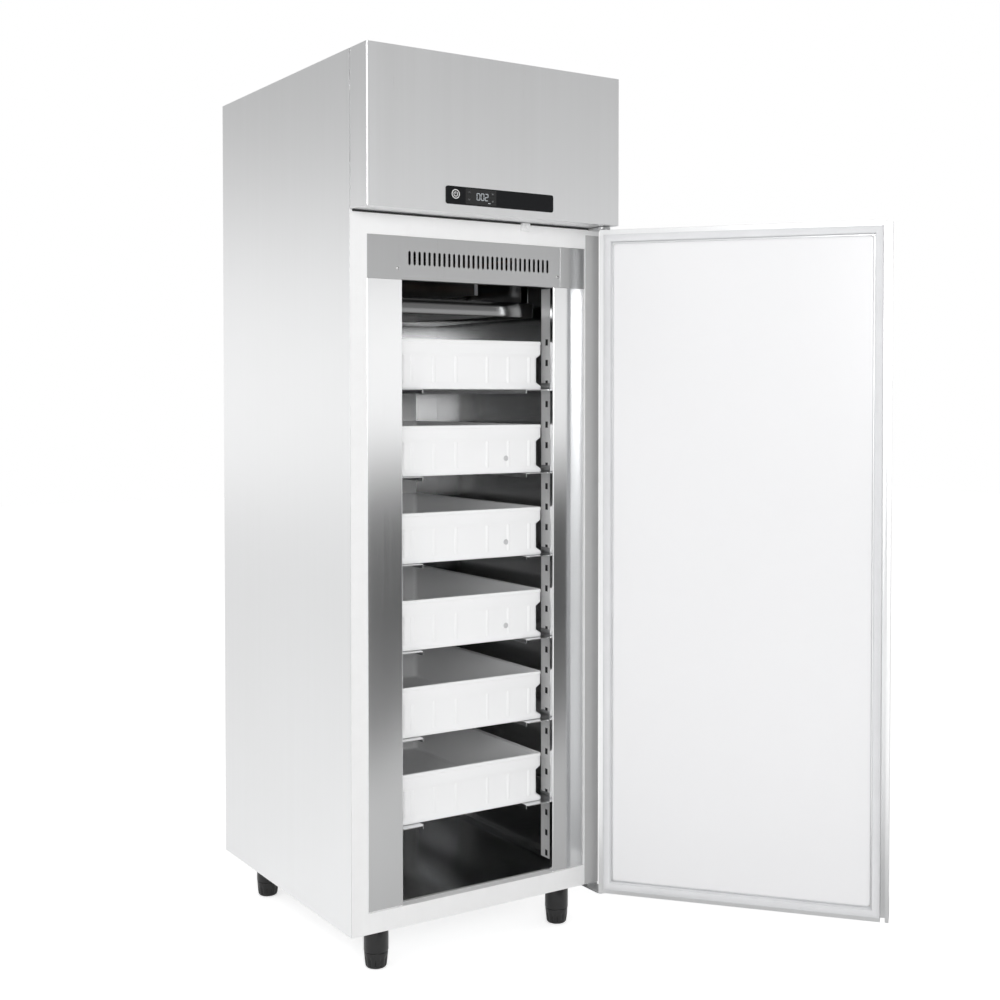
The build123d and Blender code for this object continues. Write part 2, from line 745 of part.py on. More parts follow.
def hinge_bushes():
    """Two plastic bushes that turn on the hinge pins."""
    low = bush_block(DOOR_LOW, DOOR_LOW + BUSH_LENGTH)
    high = bush_block(DOOR_HIGH - BUSH_LENGTH, DOOR_HIGH)
    bore_radius = PIN_RADIUS + PIN_FIT
    low -= rod_z(bore_radius, PIVOT_X, PIVOT_Y, DOOR_LOW - 1, DOOR_LOW + PIN_LENGTH)
    high -= rod_z(bore_radius, PIVOT_X, PIVOT_Y, DOOR_HIGH - PIN_LENGTH, DOOR_HIGH + 1)
    return Compound([low.solids()[0], high.solids()[0]])


def hinge_outline(back):
    """Plan of a hinge plate: rounded in front of the pin, straight behind it."""
    right = PIVOT_X + HINGE_PLATE_NOSE
    left = right - HINGE_PLATE_WIDTH
    tail = Pos((left + right) / 2, (PIVOT_Y + back) / 2) * Rectangle(HINGE_PLATE_WIDTH, back - PIVOT_Y)
    nose = Pos(PIVOT_X, PIVOT_Y) * Circle(HINGE_PLATE_NOSE)
    corner = Pos(left + HINGE_PLATE_NOSE, PIVOT_Y) * Circle(HINGE_PLATE_NOSE)
    return make_hull(nose.edges() + corner.edges()) + tail


def lower_hinge():
    """Plate under the cabinet's front corner, with the pin that carries the door."""
    top = DOOR_LOW - HINGE_CLEAR_LOW
    back = FRONT + HINGE_BASE_LENGTH
    plate = along_z(hinge_outline(back), top - HINGE_PLATE, top)
    right = PIVOT_X + HINGE_PLATE_NOSE
    spacer = block(right - HINGE_BASE_WIDTH, right, FRONT + FRAME_SHEET, back, top, 0)
    pin = rod_z(PIN_RADIUS, PIVOT_X, PIVOT_Y, top, DOOR_LOW + PIN_LENGTH - PIN_FIT)
    return plate + spacer + pin


def upper_hinge():
    """Plate over the door, turned up and screwed to the frame behind the fascia."""
    low = DOOR_HIGH + HINGE_CLEAR_HIGH
    plate = along_z(hinge_outline(FRONT), low, low + HINGE_PLATE)
    right = HALF_WIDTH - HINGE_LEG_MARGIN
    left = PIVOT_X + HINGE_PLATE_NOSE - HINGE_PLATE_WIDTH
    leg = block(left, right, FRONT - HINGE_PLATE, FRONT, low, low + HINGE_RISE)
    pin = rod_z(PIN_RADIUS, PIVOT_X, PIVOT_Y, DOOR_HIGH - PIN_LENGTH + PIN_FIT, low)
    return plate + leg + pin


# Inner front panels and grille


def filler_right():
    """Folded strip that closes the space beside the rack."""
    y0 = FRONT + FILLER_SETBACK
    y1 = y0 + FILLER_SHEET
    back = y0 + FILLER_RETURN
    face = block(FILLER_INNER, OPENING_HALF, y0, y1, OPENING_LOW, GRILLE_LOW)
    inner = block(FILLER_INNER, FILLER_INNER + FILLER_SHEET, y0, back, OPENING_LOW, GRILLE_LOW)
    outer = block(OPENING_HALF - FILLER_SHEET, OPENING_HALF, y0, back, OPENING_LOW, GRILLE_LOW)
    return face + inner + outer


def grille_panel():
    """Slotted cover in front of the cooling unit, folded back along its bottom and ends."""
    y0 = FRONT + GRILLE_SETBACK
    y1 = y0 + GRILLE_SHEET
    back = y0 + GRILLE_RETURN
    face = block(-OPENING_HALF, OPENING_HALF, y0, y1, GRILLE_LOW, OPENING_HIGH)
    sill = block(-OPENING_HALF, OPENING_HALF, y0, back, GRILLE_LOW, GRILLE_LOW + GRILLE_SHEET)
    end = block(OPENING_HALF - GRILLE_SHEET, OPENING_HALF, y0, back, GRILLE_LOW, OPENING_HIGH)
    row = GridLocations(GRILLE_SLOT_PITCH, 1, GRILLE_SLOTS, 1)
    slot = Rot(0, 0, 90) * flat_slot(GRILLE_SLOT_HEIGHT, GRILLE_SLOT_WIDTH)
    slots = Pos(0, GRILLE_LOW + GRILLE_SLOT_CENTRE) * spread(row, slot)
    return face + sill + end + mirrored(end) - along_y(slots, y0 - SHEET, y1 + SHEET)


# Rack, slides and crates


def front_upright():
    """Channel against the side wall, with a ladder of square holes towards the crates."""
    y0 = FRONT + UPRIGHT_SETBACK
    y1 = y0 + UPRIGHT_WIDTH
    low, high = CAVITY_LOW + LINER_CORNER, GRILLE_LOW
    web = block(UPRIGHT_FACE, UPRIGHT_FACE + UPRIGHT_SHEET, y0, y1, low, high)
    near = block(UPRIGHT_FACE, CAVITY_HALF, y0, y0 + UPRIGHT_SHEET, low, high)
    far = block(UPRIGHT_FACE, CAVITY_HALF, y1 - UPRIGHT_SHEET, y1, low, high)
    hole = Rectangle(HOLE_WIDTH, HOLE_HEIGHT)
    middle = (y0 + y1) / 2
    ladder = spread([Pos(middle, z) for z in hole_heights()], hole)
    return web + near + far - along_x(ladder, UPRIGHT_FACE - SHEET, UPRIGHT_FACE + UPRIGHT_SHEET + SHEET)


def rear_upright():
    """Shallow channel on the back wall, pierced for the tongues of the ledges."""
    y0, y1 = REAR_UPRIGHT_FACE, CAVITY_BACK
    low, high = CAVITY_LOW + LINER_CORNER, RACK_HIGH
    left = REAR_UPRIGHT_CENTRE - UPRIGHT_WIDTH / 2
    right = REAR_UPRIGHT_CENTRE + UPRIGHT_WIDTH / 2
    web = block(left, right, y0, y0 + UPRIGHT_SHEET, low, high)
    inner = block(left, left + UPRIGHT_SHEET, y0, y1, low, high)
    outer = block(right - UPRIGHT_SHEET, right, y0, y1, low, high)
    hole = Rectangle(HOLE_WIDTH, HOLE_HEIGHT)
    ladder = spread([Pos(REAR_UPRIGHT_CENTRE, z) for z in rack_levels()], hole)
    return web + inner + outer - along_y(ladder, y0 - SHEET, y0 + UPRIGHT_SHEET + SHEET)


def slide(level):
    """Right-hand ledge with a turned-down lip, hooked into a front and a rear upright."""
    top = ledge_top(level)
    y0 = FRONT + SLIDE_FRONT
    y1 = REAR_UPRIGHT_FACE
    face = UPRIGHT_FACE
    ledge = block(SLIDE_INNER, face, y0, y1, top - SLIDE_SHEET, top)
    nose = ledge.edges().filter_by(Axis.Z).group_by(Axis.Y)[0].sort_by(Axis.X)[0]
    ledge = chamfer(nose, SLIDE_CORNER)
    lip_front = y0 + SLIDE_CORNER
    lip = block(SLIDE_INNER, SLIDE_INNER + SLIDE_SHEET, lip_front, y1, top - SLIDE_LIP, top)
    upright_front = FRONT + UPRIGHT_SETBACK
    upright_back = upright_front + UPRIGHT_WIDTH
    hook_high = top + SLIDE_UPSTAND
    hook_low = hook_high - SLIDE_HOOK_HEIGHT
    upstand = block(face - SLIDE_SHEET, face, upright_front, upright_back, top, hook_high)
    hook_y = (upright_front + upright_back - SLIDE_HOOK_WIDTH) / 2
    hook = block(face, face + SLIDE_HOOK_REACH, hook_y, hook_y + SLIDE_HOOK_WIDTH, hook_low, hook_high)
    tab_left = REAR_UPRIGHT_CENTRE - SLIDE_REAR_TAB / 2
    tab = block(tab_left, tab_left + SLIDE_REAR_TAB, y1 - SLIDE_SHEET, y1, top, hook_high)
    tongue_left = REAR_UPRIGHT_CENTRE - SLIDE_HOOK_WIDTH / 2
    tongue_right = tongue_left + SLIDE_HOOK_WIDTH
    tongue = block(tongue_left, tongue_right, y1, y1 + SLIDE_HOOK_REACH, hook_low, hook_high)
    return ledge + lip + upstand + hook + tab + tongue


def crate_ribs(z0, z1):
    """Upright ribs across the sunk band of all four walls."""
    x = CRATE_WIDTH / 2 - CRATE_RIB_SINK
    y = CRATE_LENGTH / 2 - CRATE_END_RIB_SINK
    places = [CRATE_END_RIB_FIRST + CRATE_END_RIB_PITCH * i for i in range(CRATE_END_RIBS)]
    ends = [Pos(side * place, 0) for place in places for side in (-1, 1)]
    sides = GridLocations(1, CRATE_SIDE_RIB_PITCH, 1, CRATE_SIDE_RIBS)
    lengthways = spread(ends, Rectangle(CRATE_END_RIB, 2 * y))
    crossways = spread(sides, Rectangle(2 * x, CRATE_RIB))
    return along_z(lengthways + crossways, z0, z1)


def crate_walls(z0, z1):
    """Outside of a crate between its base band and its rim, sunk deeper along the sides."""
    full = corner_points(CRATE_WIDTH, CRATE_LENGTH, CRATE_CORNER)
    sunk_width = CRATE_WIDTH - 2 * CRATE_RECESS
    sunk_length = CRATE_LENGTH - 2 * CRATE_END_RECESS
    sunk = corner_points(sunk_width, sunk_length, CRATE_INNER_CORNER)
    low, high = z0 + CRATE_SLOPE, z1 - CRATE_SLOPE
    walls = flat_loft(full, z0, sunk, low) + flat_loft(sunk, low, sunk, high)
    return walls + flat_loft(sunk, high, full, z1)


def crate(level):
    """Moulded fish crate: broad rim, sunk ribbed walls and a flat base band."""
    low = ledge_top(level) + CRATE_REST
    top = low + CRATE_HEIGHT
    band_top = low + CRATE_BASE_BAND
    rim_low = top - CRATE_RIM
    full = flat_cornered(CRATE_WIDTH, CRATE_LENGTH, CRATE_CORNER)
    body = along_z(full, low, band_top) + along_z(full, rim_low, top)
    body += crate_walls(band_top, rim_low)
    body += crate_ribs(band_top, rim_low)
    inner_width = CRATE_WIDTH - 2 * (CRATE_RECESS + CRATE_WALL)
    inner_length = CRATE_LENGTH - 2 * (CRATE_END_RECESS + CRATE_WALL)
    hollow = flat_cornered(inner_width, inner_length, CRATE_INNER_CORNER)
    body -= along_z(hollow, low + CRATE_FLOOR, top + SHEET)
    return Pos(0, FRONT + CRATE_FRONT + CRATE_LENGTH / 2, 0) * body


# Cooling unit


def evaporator_tray():
    """Drip tray under the cooling coil, hung from the ceiling on four straps."""
    y0, y1 = FRONT + TRAY_FRONT, TRAY_BACK
    top = TRAY_LOW + TRAY_WALL
    pan = block(-TRAY_HALF, TRAY_HALF, y0, y1, TRAY_LOW, top)
    hollow = block(
        -TRAY_HALF + TRAY_SHEET,
        TRAY_HALF - TRAY_SHEET,
        y0 + TRAY_SHEET,
        y1 - TRAY_SHEET,
        TRAY_LOW + TRAY_SHEET,
        top + TRAY_SHEET,
    )
    pieces = [pan - hollow]
    for y in (y0 + TRAY_HANGER_INSET, y1 - TRAY_HANGER_INSET):
        near, far = y - TRAY_HANGER / 2, y + TRAY_HANGER / 2
        strap = block(TRAY_HALF - TRAY_SHEET, TRAY_HALF, near, far, top, CAVITY_HIGH)
        pieces += [strap, mirrored(strap)]
    return Compound([piece.solids()[0] for piece in pieces])


def finned_block(x0, x1, y0, y1, z0, z1, fins):
    """Row of upright fins on a core, between two end plates."""
    margin = COIL_CORE_MARGIN
    core = block(x0, x1, y0 + margin, y1 - margin, z0 + margin, z1 - margin)
    pitch = (x1 - x0 - COIL_PLATE) / (fins - 1)
    coil = core
    for i in range(fins):
        thick = COIL_PLATE if i in (0, fins - 1) else COIL_FIN
        x = x0 + COIL_PLATE / 2 + pitch * i
        coil += block(x - thick / 2, x + thick / 2, y0, y1, z0, z1)
    return coil


def evaporator_coil():
    """Finned cooling coil hung under the ceiling, with a block for each refrigerant line."""
    y0, y1 = COIL_FRONT, COIL_BACK
    z0 = CAVITY_HIGH - COIL_HEIGHT
    coil = finned_block(-COIL_HALF, COIL_HALF, y0, y1, z0, CAVITY_HIGH, COIL_FINS)
    for x, y in pipe_places():
        coil += Pos(x, y, CAVITY_HIGH - COIL_CORE_MARGIN) * Box(MANIFOLD, MANIFOLD, 2 * COIL_CORE_MARGIN)
    return coil


def fan_wheel(tip_radius):
    """Hub and pitched blades about the Z axis, with the hub's lower face at zero."""
    wheel = along_z(RegularPolygon(FAN_HUB_RADIUS, 12), 0, FAN_HUB_HEIGHT)
    root = FAN_HUB_RADIUS - FAN_BLADE_THICK
    plan = Polyline(
        (root, -FAN_BLADE_ROOT / 2),
        (tip_radius, -FAN_BLADE_CHORD / 2),
        (tip_radius, FAN_BLADE_CHORD / 2),
        (root, FAN_BLADE_ROOT / 2),
        close=True,
    )
    flat = extrude(make_face(plan), amount=FAN_BLADE_THICK / 2, both=True)
    blade = Pos(0, 0, FAN_HUB_HEIGHT / 2) * Rot(FAN_BLADE_PITCH, 0, 0) * flat
    for i in range(FAN_BLADES):
        wheel += Rot(0, 0, 360 / FAN_BLADES * i) * blade
    return wheel - rod_z(FAN_SHAFT_RADIUS + FAN_SHAFT_FIT, 0, 0, -1, FAN_HUB_HEIGHT + 1)


def evaporator_motor():
    """Fan motor on the ceiling, with its shaft pointing down."""
    y = FRONT + EVAPORATOR_FAN_Y
    low = CAVITY_HIGH - EVAPORATOR_MOTOR_HEIGHT
    case = flat_cornered(2 * EVAPORATOR_MOTOR_HALF, 2 * EVAPORATOR_MOTOR_HALF, MOTOR_CORNER)
    body = along_z(Pos(0, y) * case, low, CAVITY_HIGH)
    shaft = rod_z(FAN_SHAFT_RADIUS, 0, y, low - MOTOR_SHAFT_REACH, low)
    return body + shaft


def evaporator_fan():
    """Fan wheel under the ceiling motor."""
    y = FRONT + EVAPORATOR_FAN_Y
    low = CAVITY_HIGH - EVAPORATOR_MOTOR_HEIGHT - MOTOR_GAP - FAN_HUB_HEIGHT
    return Pos(0, y, low) * fan_wheel(EVAPORATOR_FAN_RADIUS)


def condenser_box():
    """Left, right, front, back, low and high of the condenser."""
    y0 = FRONT + CONDENSER_SETBACK
    left = CONDENSER_SIDE_GAP - INNER_SKIN
    right = left + CONDENSER_WIDTH
    return left, right, y0, y0 + CONDENSER_DEPTH, DECK_TOP, DECK_TOP + CONDENSER_HEIGHT


def condenser_centre():
    x0, x1, _, _, z0, z1 = condenser_box()
    return (x0 + x1) / 2, (z0 + z1) / 2


def condenser_coil():
    """Finned condenser standing on the deck behind the fascia."""
    x0, x1, y0, y1, z0, z1 = condenser_box()
    return finned_block(x0, x1, y0, y1, z0, z1, CONDENSER_FINS)


def fan_shroud():
    """Plate behind the condenser with a round collar for the fan."""
    x0, x1, _, y0, z0, z1 = condenser_box()
    x, z = condenser_centre()
    hole = CONDENSER_FAN_RADIUS + SHROUD_GAP
    plate = block(x0, x1, y0, y0 + SHROUD_SHEET, z0, z1)
    collar = Pos(x, z) * RegularPolygon(hole + SHROUD_SHEET, SHROUD_SIDES)
    throat = Pos(x, z) * RegularPolygon(hole, SHROUD_SIDES)
    shroud = plate + along_y(collar, y0, y0 + SHROUD_RING)
    return shroud - along_y(throat, y0 - SHEET, y0 + SHROUD_RING + SHEET)


def condenser_fan_y():
    """Depth of the fan hub's front face."""
    return condenser_box()[3] + CONDENSER_FAN_STANDOFF


def condenser_motor():
    """Fan motor on a cross bar screwed to the shroud's collar."""
    x, z = condenser_centre()
    y0 = condenser_fan_y() + FAN_HUB_HEIGHT + MOTOR_GAP
    case = flat_cornered(2 * CONDENSER_MOTOR_HALF, 2 * CONDENSER_MOTOR_HALF, MOTOR_CORNER)
    body = along_y(Pos(x, z) * case, y0, y0 + CONDENSER_MOTOR_LENGTH)
    shaft = rod_y(FAN_SHAFT_RADIUS, x, z, y0 - MOTOR_SHAFT_REACH, y0)
    reach = CONDENSER_FAN_RADIUS + SHROUD_GAP + SHROUD_SHEET
    low, high = z - MOTOR_ARM / 2, z + MOTOR_ARM / 2
    holder = block(x - reach, x + reach, y0, y0 + MOTOR_ARM_THICK, low, high)
    collar_back = condenser_box()[3] + SHROUD_RING
    for end in (x - reach, x + reach - MOTOR_ARM_THICK):
        holder += block(end, end + MOTOR_ARM_THICK, collar_back, y0, low, high)
    return body + shaft + holder


def condenser_fan():
    """Fan wheel inside the shroud, turned to blow backwards."""
    x, z = condenser_centre()
    return Pos(x, condenser_fan_y(), z) * Rot(-90, 0, 0) * fan_wheel(CONDENSER_FAN_RADIUS)


def compressor():
    """Domed hermetic compressor with a belt seam, on a plate with four rubber pads."""
    foot = COMPRESSOR_PAD + COMPRESSOR_PLATE
    wall = COMPRESSOR_RADIUS - COMPRESSOR_SEAM
    top = foot + COMPRESSOR_HEIGHT
    seam = foot + COMPRESSOR_SEAM_Z
    shell = tapered(wall, wall, foot, top - COMPRESSOR_DOME)
    for i in range(DOME_BANDS):
        low, high = math.radians(90 * i / DOME_BANDS), math.radians(90 * (i + 1) / DOME_BANDS)
        shell += tapered(
            wall - COMPRESSOR_DOME * (1 - math.cos(low)),
            wall - COMPRESSOR_DOME * (1 - math.cos(high)),
            top - COMPRESSOR_DOME * (1 - math.sin(low)),
            top - COMPRESSOR_DOME * (1 - math.sin(high)),
        )
    belt = COMPRESSOR_RADIUS
    shell += tapered(belt, belt, seam - COMPRESSOR_SEAM, seam + COMPRESSOR_SEAM)
    plate = along_z(
        flat_cornered(COMPRESSOR_PLATE_LENGTH, COMPRESSOR_PLATE_WIDTH, COMPRESSOR_PAD_INSET),
        COMPRESSOR_PAD,
        foot,
    )
    spacing_x = COMPRESSOR_PLATE_LENGTH - 2 * COMPRESSOR_PAD_INSET
    spacing_y = COMPRESSOR_PLATE_WIDTH - 2 * COMPRESSOR_PAD_INSET
    pads = spread(GridLocations(spacing_x, spacing_y, 2, 2), RegularPolygon(COMPRESSOR_PAD_RADIUS, 6))
    unit = shell + plate + along_z(pads, 0, COMPRESSOR_PAD)
    return Pos(COMPRESSOR_X, COMPRESSOR_Y, DECK_TOP) * unit


def pipe(corners):
    """Eight-sided tube whose bends are turned in two short straights each."""
    route = [Vector(*corners[0])]
    for before, corner, after in zip(corners, corners[1:], corners[2:]):
        middle = Vector(*corner)
        back = (Vector(*before) - middle).normalized() * PIPE_BEND
        ahead = (Vector(*after) - middle).normalized() * PIPE_BEND
        centre = middle + back + ahead
        halfway = centre + (middle - centre).normalized() * PIPE_BEND
        route += [middle + back, halfway, middle + ahead]
    route.append(Vector(*corners[-1]))
    path = Polyline(*route)
    start = Plane(origin=path @ 0, z_dir=path % 0)
    return sweep(start * RegularPolygon(PIPE_RADIUS, 8), path=path, transition=Transition.RIGHT)


def drier_ends():
    """Y of the drier's front and rear necks."""
    y0 = FRONT + DRIER_FRONT
    return y0 - DRIER_NECK, y0 + DRIER_LENGTH + DRIER_NECK


def filter_drier():
    """Copper drier bottle in the liquid line, on a saddle screwed to the deck."""
    y0 = FRONT + DRIER_FRONT
    y1 = y0 + DRIER_LENGTH
    front, rear = drier_ends()
    z = DECK_TOP + DRIER_RISE
    bottle = along_y(Pos(DRIER_X, z) * RegularPolygon(DRIER_RADIUS, 12), y0, y1)
    bottle += along_y(Pos(DRIER_X, z) * RegularPolygon(PIPE_RADIUS, 8), front, rear)
    middle = (y0 + y1) / 2
    half = DRIER_SADDLE_WIDTH / 2
    near, far = middle - DRIER_SADDLE_LENGTH / 2, middle + DRIER_SADDLE_LENGTH / 2
    post = block(DRIER_X - half, DRIER_X + half, near, far, DECK_TOP, z)
    foot_half = half + DRIER_SADDLE_WIDTH / 2
    foot_top = DECK_TOP + DRIER_SADDLE_FOOT
    foot = block(DRIER_X - foot_half, DRIER_X + foot_half, near, far, DECK_TOP, foot_top)
    return bottle + post + foot


def refrigerant_pipes():
    """Discharge, liquid and suction lines between the machine parts and the roof."""
    _, x1, y0, y1, _, z1 = condenser_box()
    coil_y = (y0 + y1) / 2
    (liquid_x, liquid_y), (suction_x, suction_y) = pipe_places()
    foot = DECK_TOP + COMPRESSOR_PAD + COMPRESSOR_PLATE
    top = foot + COMPRESSOR_HEIGHT
    loop_z = top + PIPE_LOOP
    loop_x = x1 + PIPE_LOOP
    entry_z = z1 - PIPE_LOOP
    drier_z = DECK_TOP + DRIER_RISE
    drier_front, drier_rear = drier_ends()
    suction_z = DECK_TOP + SUCTION_RISE
    shell_x = COMPRESSOR_X + COMPRESSOR_RADIUS - COMPRESSOR_SEAM
    discharge = pipe(
        [
            (COMPRESSOR_X, COMPRESSOR_Y, top),
            (COMPRESSOR_X, COMPRESSOR_Y, loop_z),
            (loop_x, COMPRESSOR_Y, loop_z),
            (loop_x, coil_y, loop_z),
            (loop_x, coil_y, entry_z),
            (x1, coil_y, entry_z),
        ]
    )
    liquid_out = pipe(
        [
            (x1, coil_y, drier_z),
            (DRIER_X, coil_y, drier_z),
            (DRIER_X, drier_front, drier_z),
        ]
    )
    liquid_in = pipe(
        [
            (DRIER_X, drier_rear, drier_z),
            (DRIER_X, liquid_y, drier_z),
            (liquid_x, liquid_y, drier_z),
            (liquid_x, liquid_y, CAVITY_HIGH),
        ]
    )
    suction = pipe(
        [
            (suction_x, suction_y, CAVITY_HIGH),
            (suction_x, suction_y, suction_z),
            (suction_x, COMPRESSOR_Y, suction_z),
            (shell_x, COMPRESSOR_Y, suction_z),
        ]
    )
    return Compound([line.solids()[0] for line in (discharge, liquid_out, liquid_in, suction)])


def electrical_box():
    """Plastic box with a lid, for the starting gear and terminals."""
    outline = flat_cornered(BOX_WIDTH, BOX_DEPTH, BOX_CORNER)
    overlap = 2 * BOX_LID_OVERLAP
    lid = flat_cornered(BOX_WIDTH + overlap, BOX_DEPTH + overlap, BOX_CORNER + BOX_LID_OVERLAP)
    middle_x = INNER_SKIN - BOX_SIDE_GAP - BOX_WIDTH / 2
    centre = Pos(middle_x, FRONT + BOX_SETBACK + BOX_DEPTH / 2, 0)
    top = DECK_TOP + BOX_HEIGHT
    return centre * (along_z(outline, DECK_TOP, top) + along_z(lid, top, top + BOX_LID))


def power_inlet():
    """Appliance inlet in the louvred panel, with three pins in a recess."""
    half_x, half_z = INLET_WIDTH / 2, INLET_HEIGHT / 2
    rear = BACK + INLET_FLANGE_THICK
    body = block(
        INLET_X - half_x, INLET_X + half_x, BACK - INLET_DEPTH, BACK, INLET_Z - half_z, INLET_Z + half_z
    )
    flange = flat_cornered(INLET_WIDTH + INLET_FLANGE, INLET_HEIGHT + INLET_FLANGE, INLET_FLANGE / 2)
    inlet = body + along_y(Pos(INLET_X, INLET_Z) * flange, BACK, rear)
    inner = Rectangle(INLET_WIDTH - 2 * INLET_WALL, INLET_HEIGHT - 2 * INLET_WALL)
    inlet -= along_y(Pos(INLET_X, INLET_Z) * inner, rear - INLET_SOCKET_DEPTH, rear + SHEET)
    pins = [(-INLET_PIN_SPREAD, -INLET_PIN_RISE), (0, INLET_PIN_RISE), (INLET_PIN_SPREAD, -INLET_PIN_RISE)]
    floor = rear - INLET_SOCKET_DEPTH
    pin = Rectangle(INLET_PIN_WIDTH, INLET_PIN_HEIGHT)
    for dx, dz in pins:
        inlet += along_y(Pos(INLET_X + dx, INLET_Z + dz) * pin, floor - SHEET, floor + INLET_PIN_LENGTH)
    return inlet


# Service fascia


def fascia_box():
    """Left, right, front, back, low and high of the fascia."""
    half = HALF_WIDTH - FASCIA_TRIM
    return -half, half, FRONT - FASCIA_DEPTH, FRONT - FASCIA_BACK_GAP, FASCIA_LOW, BODY_HEIGHT


def fascia_pivot():
    """Y and Z of the line that the fascia swings up about."""
    return FRONT - FASCIA_PIVOT_BACK, BODY_HEIGHT - FASCIA_PIVOT_DOWN


def fascia_arm():
    """Left and right of the hinge arm on the right-hand side."""
    right = HALF_WIDTH - FASCIA_ARM_INSET + FASCIA_ARM_WIDTH
    return right - FASCIA_ARM_WIDTH, right


def label_low():
    return FASCIA_LOW + LABEL_ABOVE


def key_places():
    """Centres of the four keys beside the display."""
    low, high = label_low() + KEY_LOWER, label_low() + KEY_UPPER
    return [(KEY_LEFT_X, high), (KEY_LEFT_X, low), (KEY_RIGHT_X, high), (KEY_RIGHT_X, low)]


def key_outline(grow):
    return Rectangle(KEY_WIDTH + 2 * grow, KEY_HEIGHT + 2 * grow)


def control_sketch(grow):
    """Outlines of the power button and the keys, grown by a clearance."""
    shape = Pos(POWER_X, label_low() + POWER_ABOVE) * RegularPolygon(POWER_RADIUS + grow, ROUND_SIDES)
    for x, z in key_places():
        shape += Pos(x, z) * key_outline(grow)
    return shape


def control_holes():
    front = FRONT - FASCIA_DEPTH
    reach = LABEL_THICK + WINDOW_THICK + SHEET
    return along_y(control_sketch(KEY_CLEAR), front - reach, front + FASCIA_SHEET + SHEET)


def fascia_panel():
    """Folded sheet in front of the machine compartment, open at the back."""
    x0, x1, y0, y1, z0, z1 = fascia_box()
    sheet = FASCIA_SHEET
    outer = block(x0, x1, y0, y1, z0, z1)
    upright_edges = outer.edges().filter_by(Axis.Z).group_by(Axis.Y)[0]
    outer = fillet(upright_edges, DOOR_EDGE_RADIUS)
    pan = outer - block(x0 + sheet, x1 - sheet, y0 + sheet, y1 + SHEET, z0 + sheet, z1 - sheet)
    pan += block(x0 + FASCIA_LIP_END, x1 - FASCIA_LIP_END, y1 - sheet, y1, z0, z0 + FASCIA_LIP)
    leg_left = PIVOT_X + HINGE_PLATE_NOSE - HINGE_PLATE_WIDTH - FASCIA_NOTCH
    leg_front = FRONT - HINGE_PLATE - FASCIA_NOTCH
    pan -= block(leg_left, x1 - sheet, leg_front, y1 + SHEET, z0 - SHEET, z0 + 2 * sheet)
    pivot_y, pivot_z = fascia_pivot()
    arm_left, arm_right = fascia_arm()
    slot_front = pivot_y - FASCIA_EYE_RADIUS - FASCIA_ARM_CLEAR
    slot = block(
        arm_left - FASCIA_ARM_CLEAR,
        arm_right + FASCIA_ARM_CLEAR,
        slot_front,
        y1 + SHEET,
        z1 - 2 * sheet,
        z1 + SHEET,
    )
    bore = rod_x(FASCIA_PIN_RADIUS + FASCIA_PIN_FIT, pivot_y, pivot_z, x0 - SHEET, x1 + SHEET)
    return pan - slot - mirrored(slot) - bore - control_holes()


def fascia_hinges():
    """Two arms on the cabinet's top corners, each with a pin into the fascia's side."""
    y, z = fascia_pivot()
    left, right = fascia_arm()
    eye = rod_x(FASCIA_EYE_RADIUS, y, z, left, right)
    arm = block(left, right, y, FRONT, z - FASCIA_EYE_RADIUS, z + FASCIA_EYE_RADIUS)
    pin = rod_x(FASCIA_PIN_RADIUS, y, z, right, HALF_WIDTH - FASCIA_TRIM)
    hinge = eye + arm + pin
    return Compound([hinge.solids()[0], mirrored(hinge).solids()[0]])


def control_plate():
    """Flat label plate round the display and the keys."""
    front = FRONT - FASCIA_DEPTH
    outline = flat_cornered(LABEL_WIDTH, LABEL_HEIGHT, LABEL_CORNER)
    centre = Pos(LABEL_LEFT + LABEL_WIDTH / 2, label_low() + LABEL_HEIGHT / 2)
    return along_y(centre * outline, front - LABEL_THICK, front) - control_holes()


def display_window():
    """Clear window over the digits, pierced for the keys."""
    back = FRONT - FASCIA_DEPTH - LABEL_THICK
    outline = flat_cornered(WINDOW_WIDTH, WINDOW_HEIGHT, WINDOW_CORNER)
    centre = Pos(WINDOW_LEFT + WINDOW_WIDTH / 2, label_low() + LABEL_HEIGHT / 2)
    return along_y(centre * outline, back - WINDOW_THICK, back) - control_holes()


def controller_housing():
    """Plastic case of the thermostat behind the fascia, with a pocket for each key."""
    front = FRONT - FASCIA_DEPTH + FASCIA_SHEET
    left = POWER_X - POWER_RADIUS - CONTROLLER_MARGIN
    right = KEY_RIGHT_X + KEY_WIDTH / 2 + CONTROLLER_MARGIN
    middle = label_low() + LABEL_HEIGHT / 2
    low, high = middle - CONTROLLER_HEIGHT / 2, middle + CONTROLLER_HEIGHT / 2
    case = block(left, right, front, front + CONTROLLER_DEPTH, low, high)
    return case - along_y(control_sketch(KEY_CLEAR), front - SHEET, front + CONTROLLER_POCKET)


def button(outline, x, z, stack):
    """Button that stands proud of the parts stacked on the fascia."""
    front = FRONT - FASCIA_DEPTH
    return along_y(Pos(x, z) * outline, front - stack - KEY_PROUD, front + FASCIA_SHEET)


def power_button():
    outline = RegularPolygon(POWER_RADIUS, ROUND_SIDES)
    return button(outline, POWER_X, label_low() + POWER_ABOVE, LABEL_THICK)


def key(place):
    x, z = key_places()[place]
    return button(key_outline(0), x, z, LABEL_THICK + WINDOW_THICK)


# Door switch


def switch_centre():
    """X and Z of the switch, just under the fascia."""
    return SWITCH_X, FASCIA_LOW - SWITCH_TOP_GAP - SWITCH_HEIGHT / 2


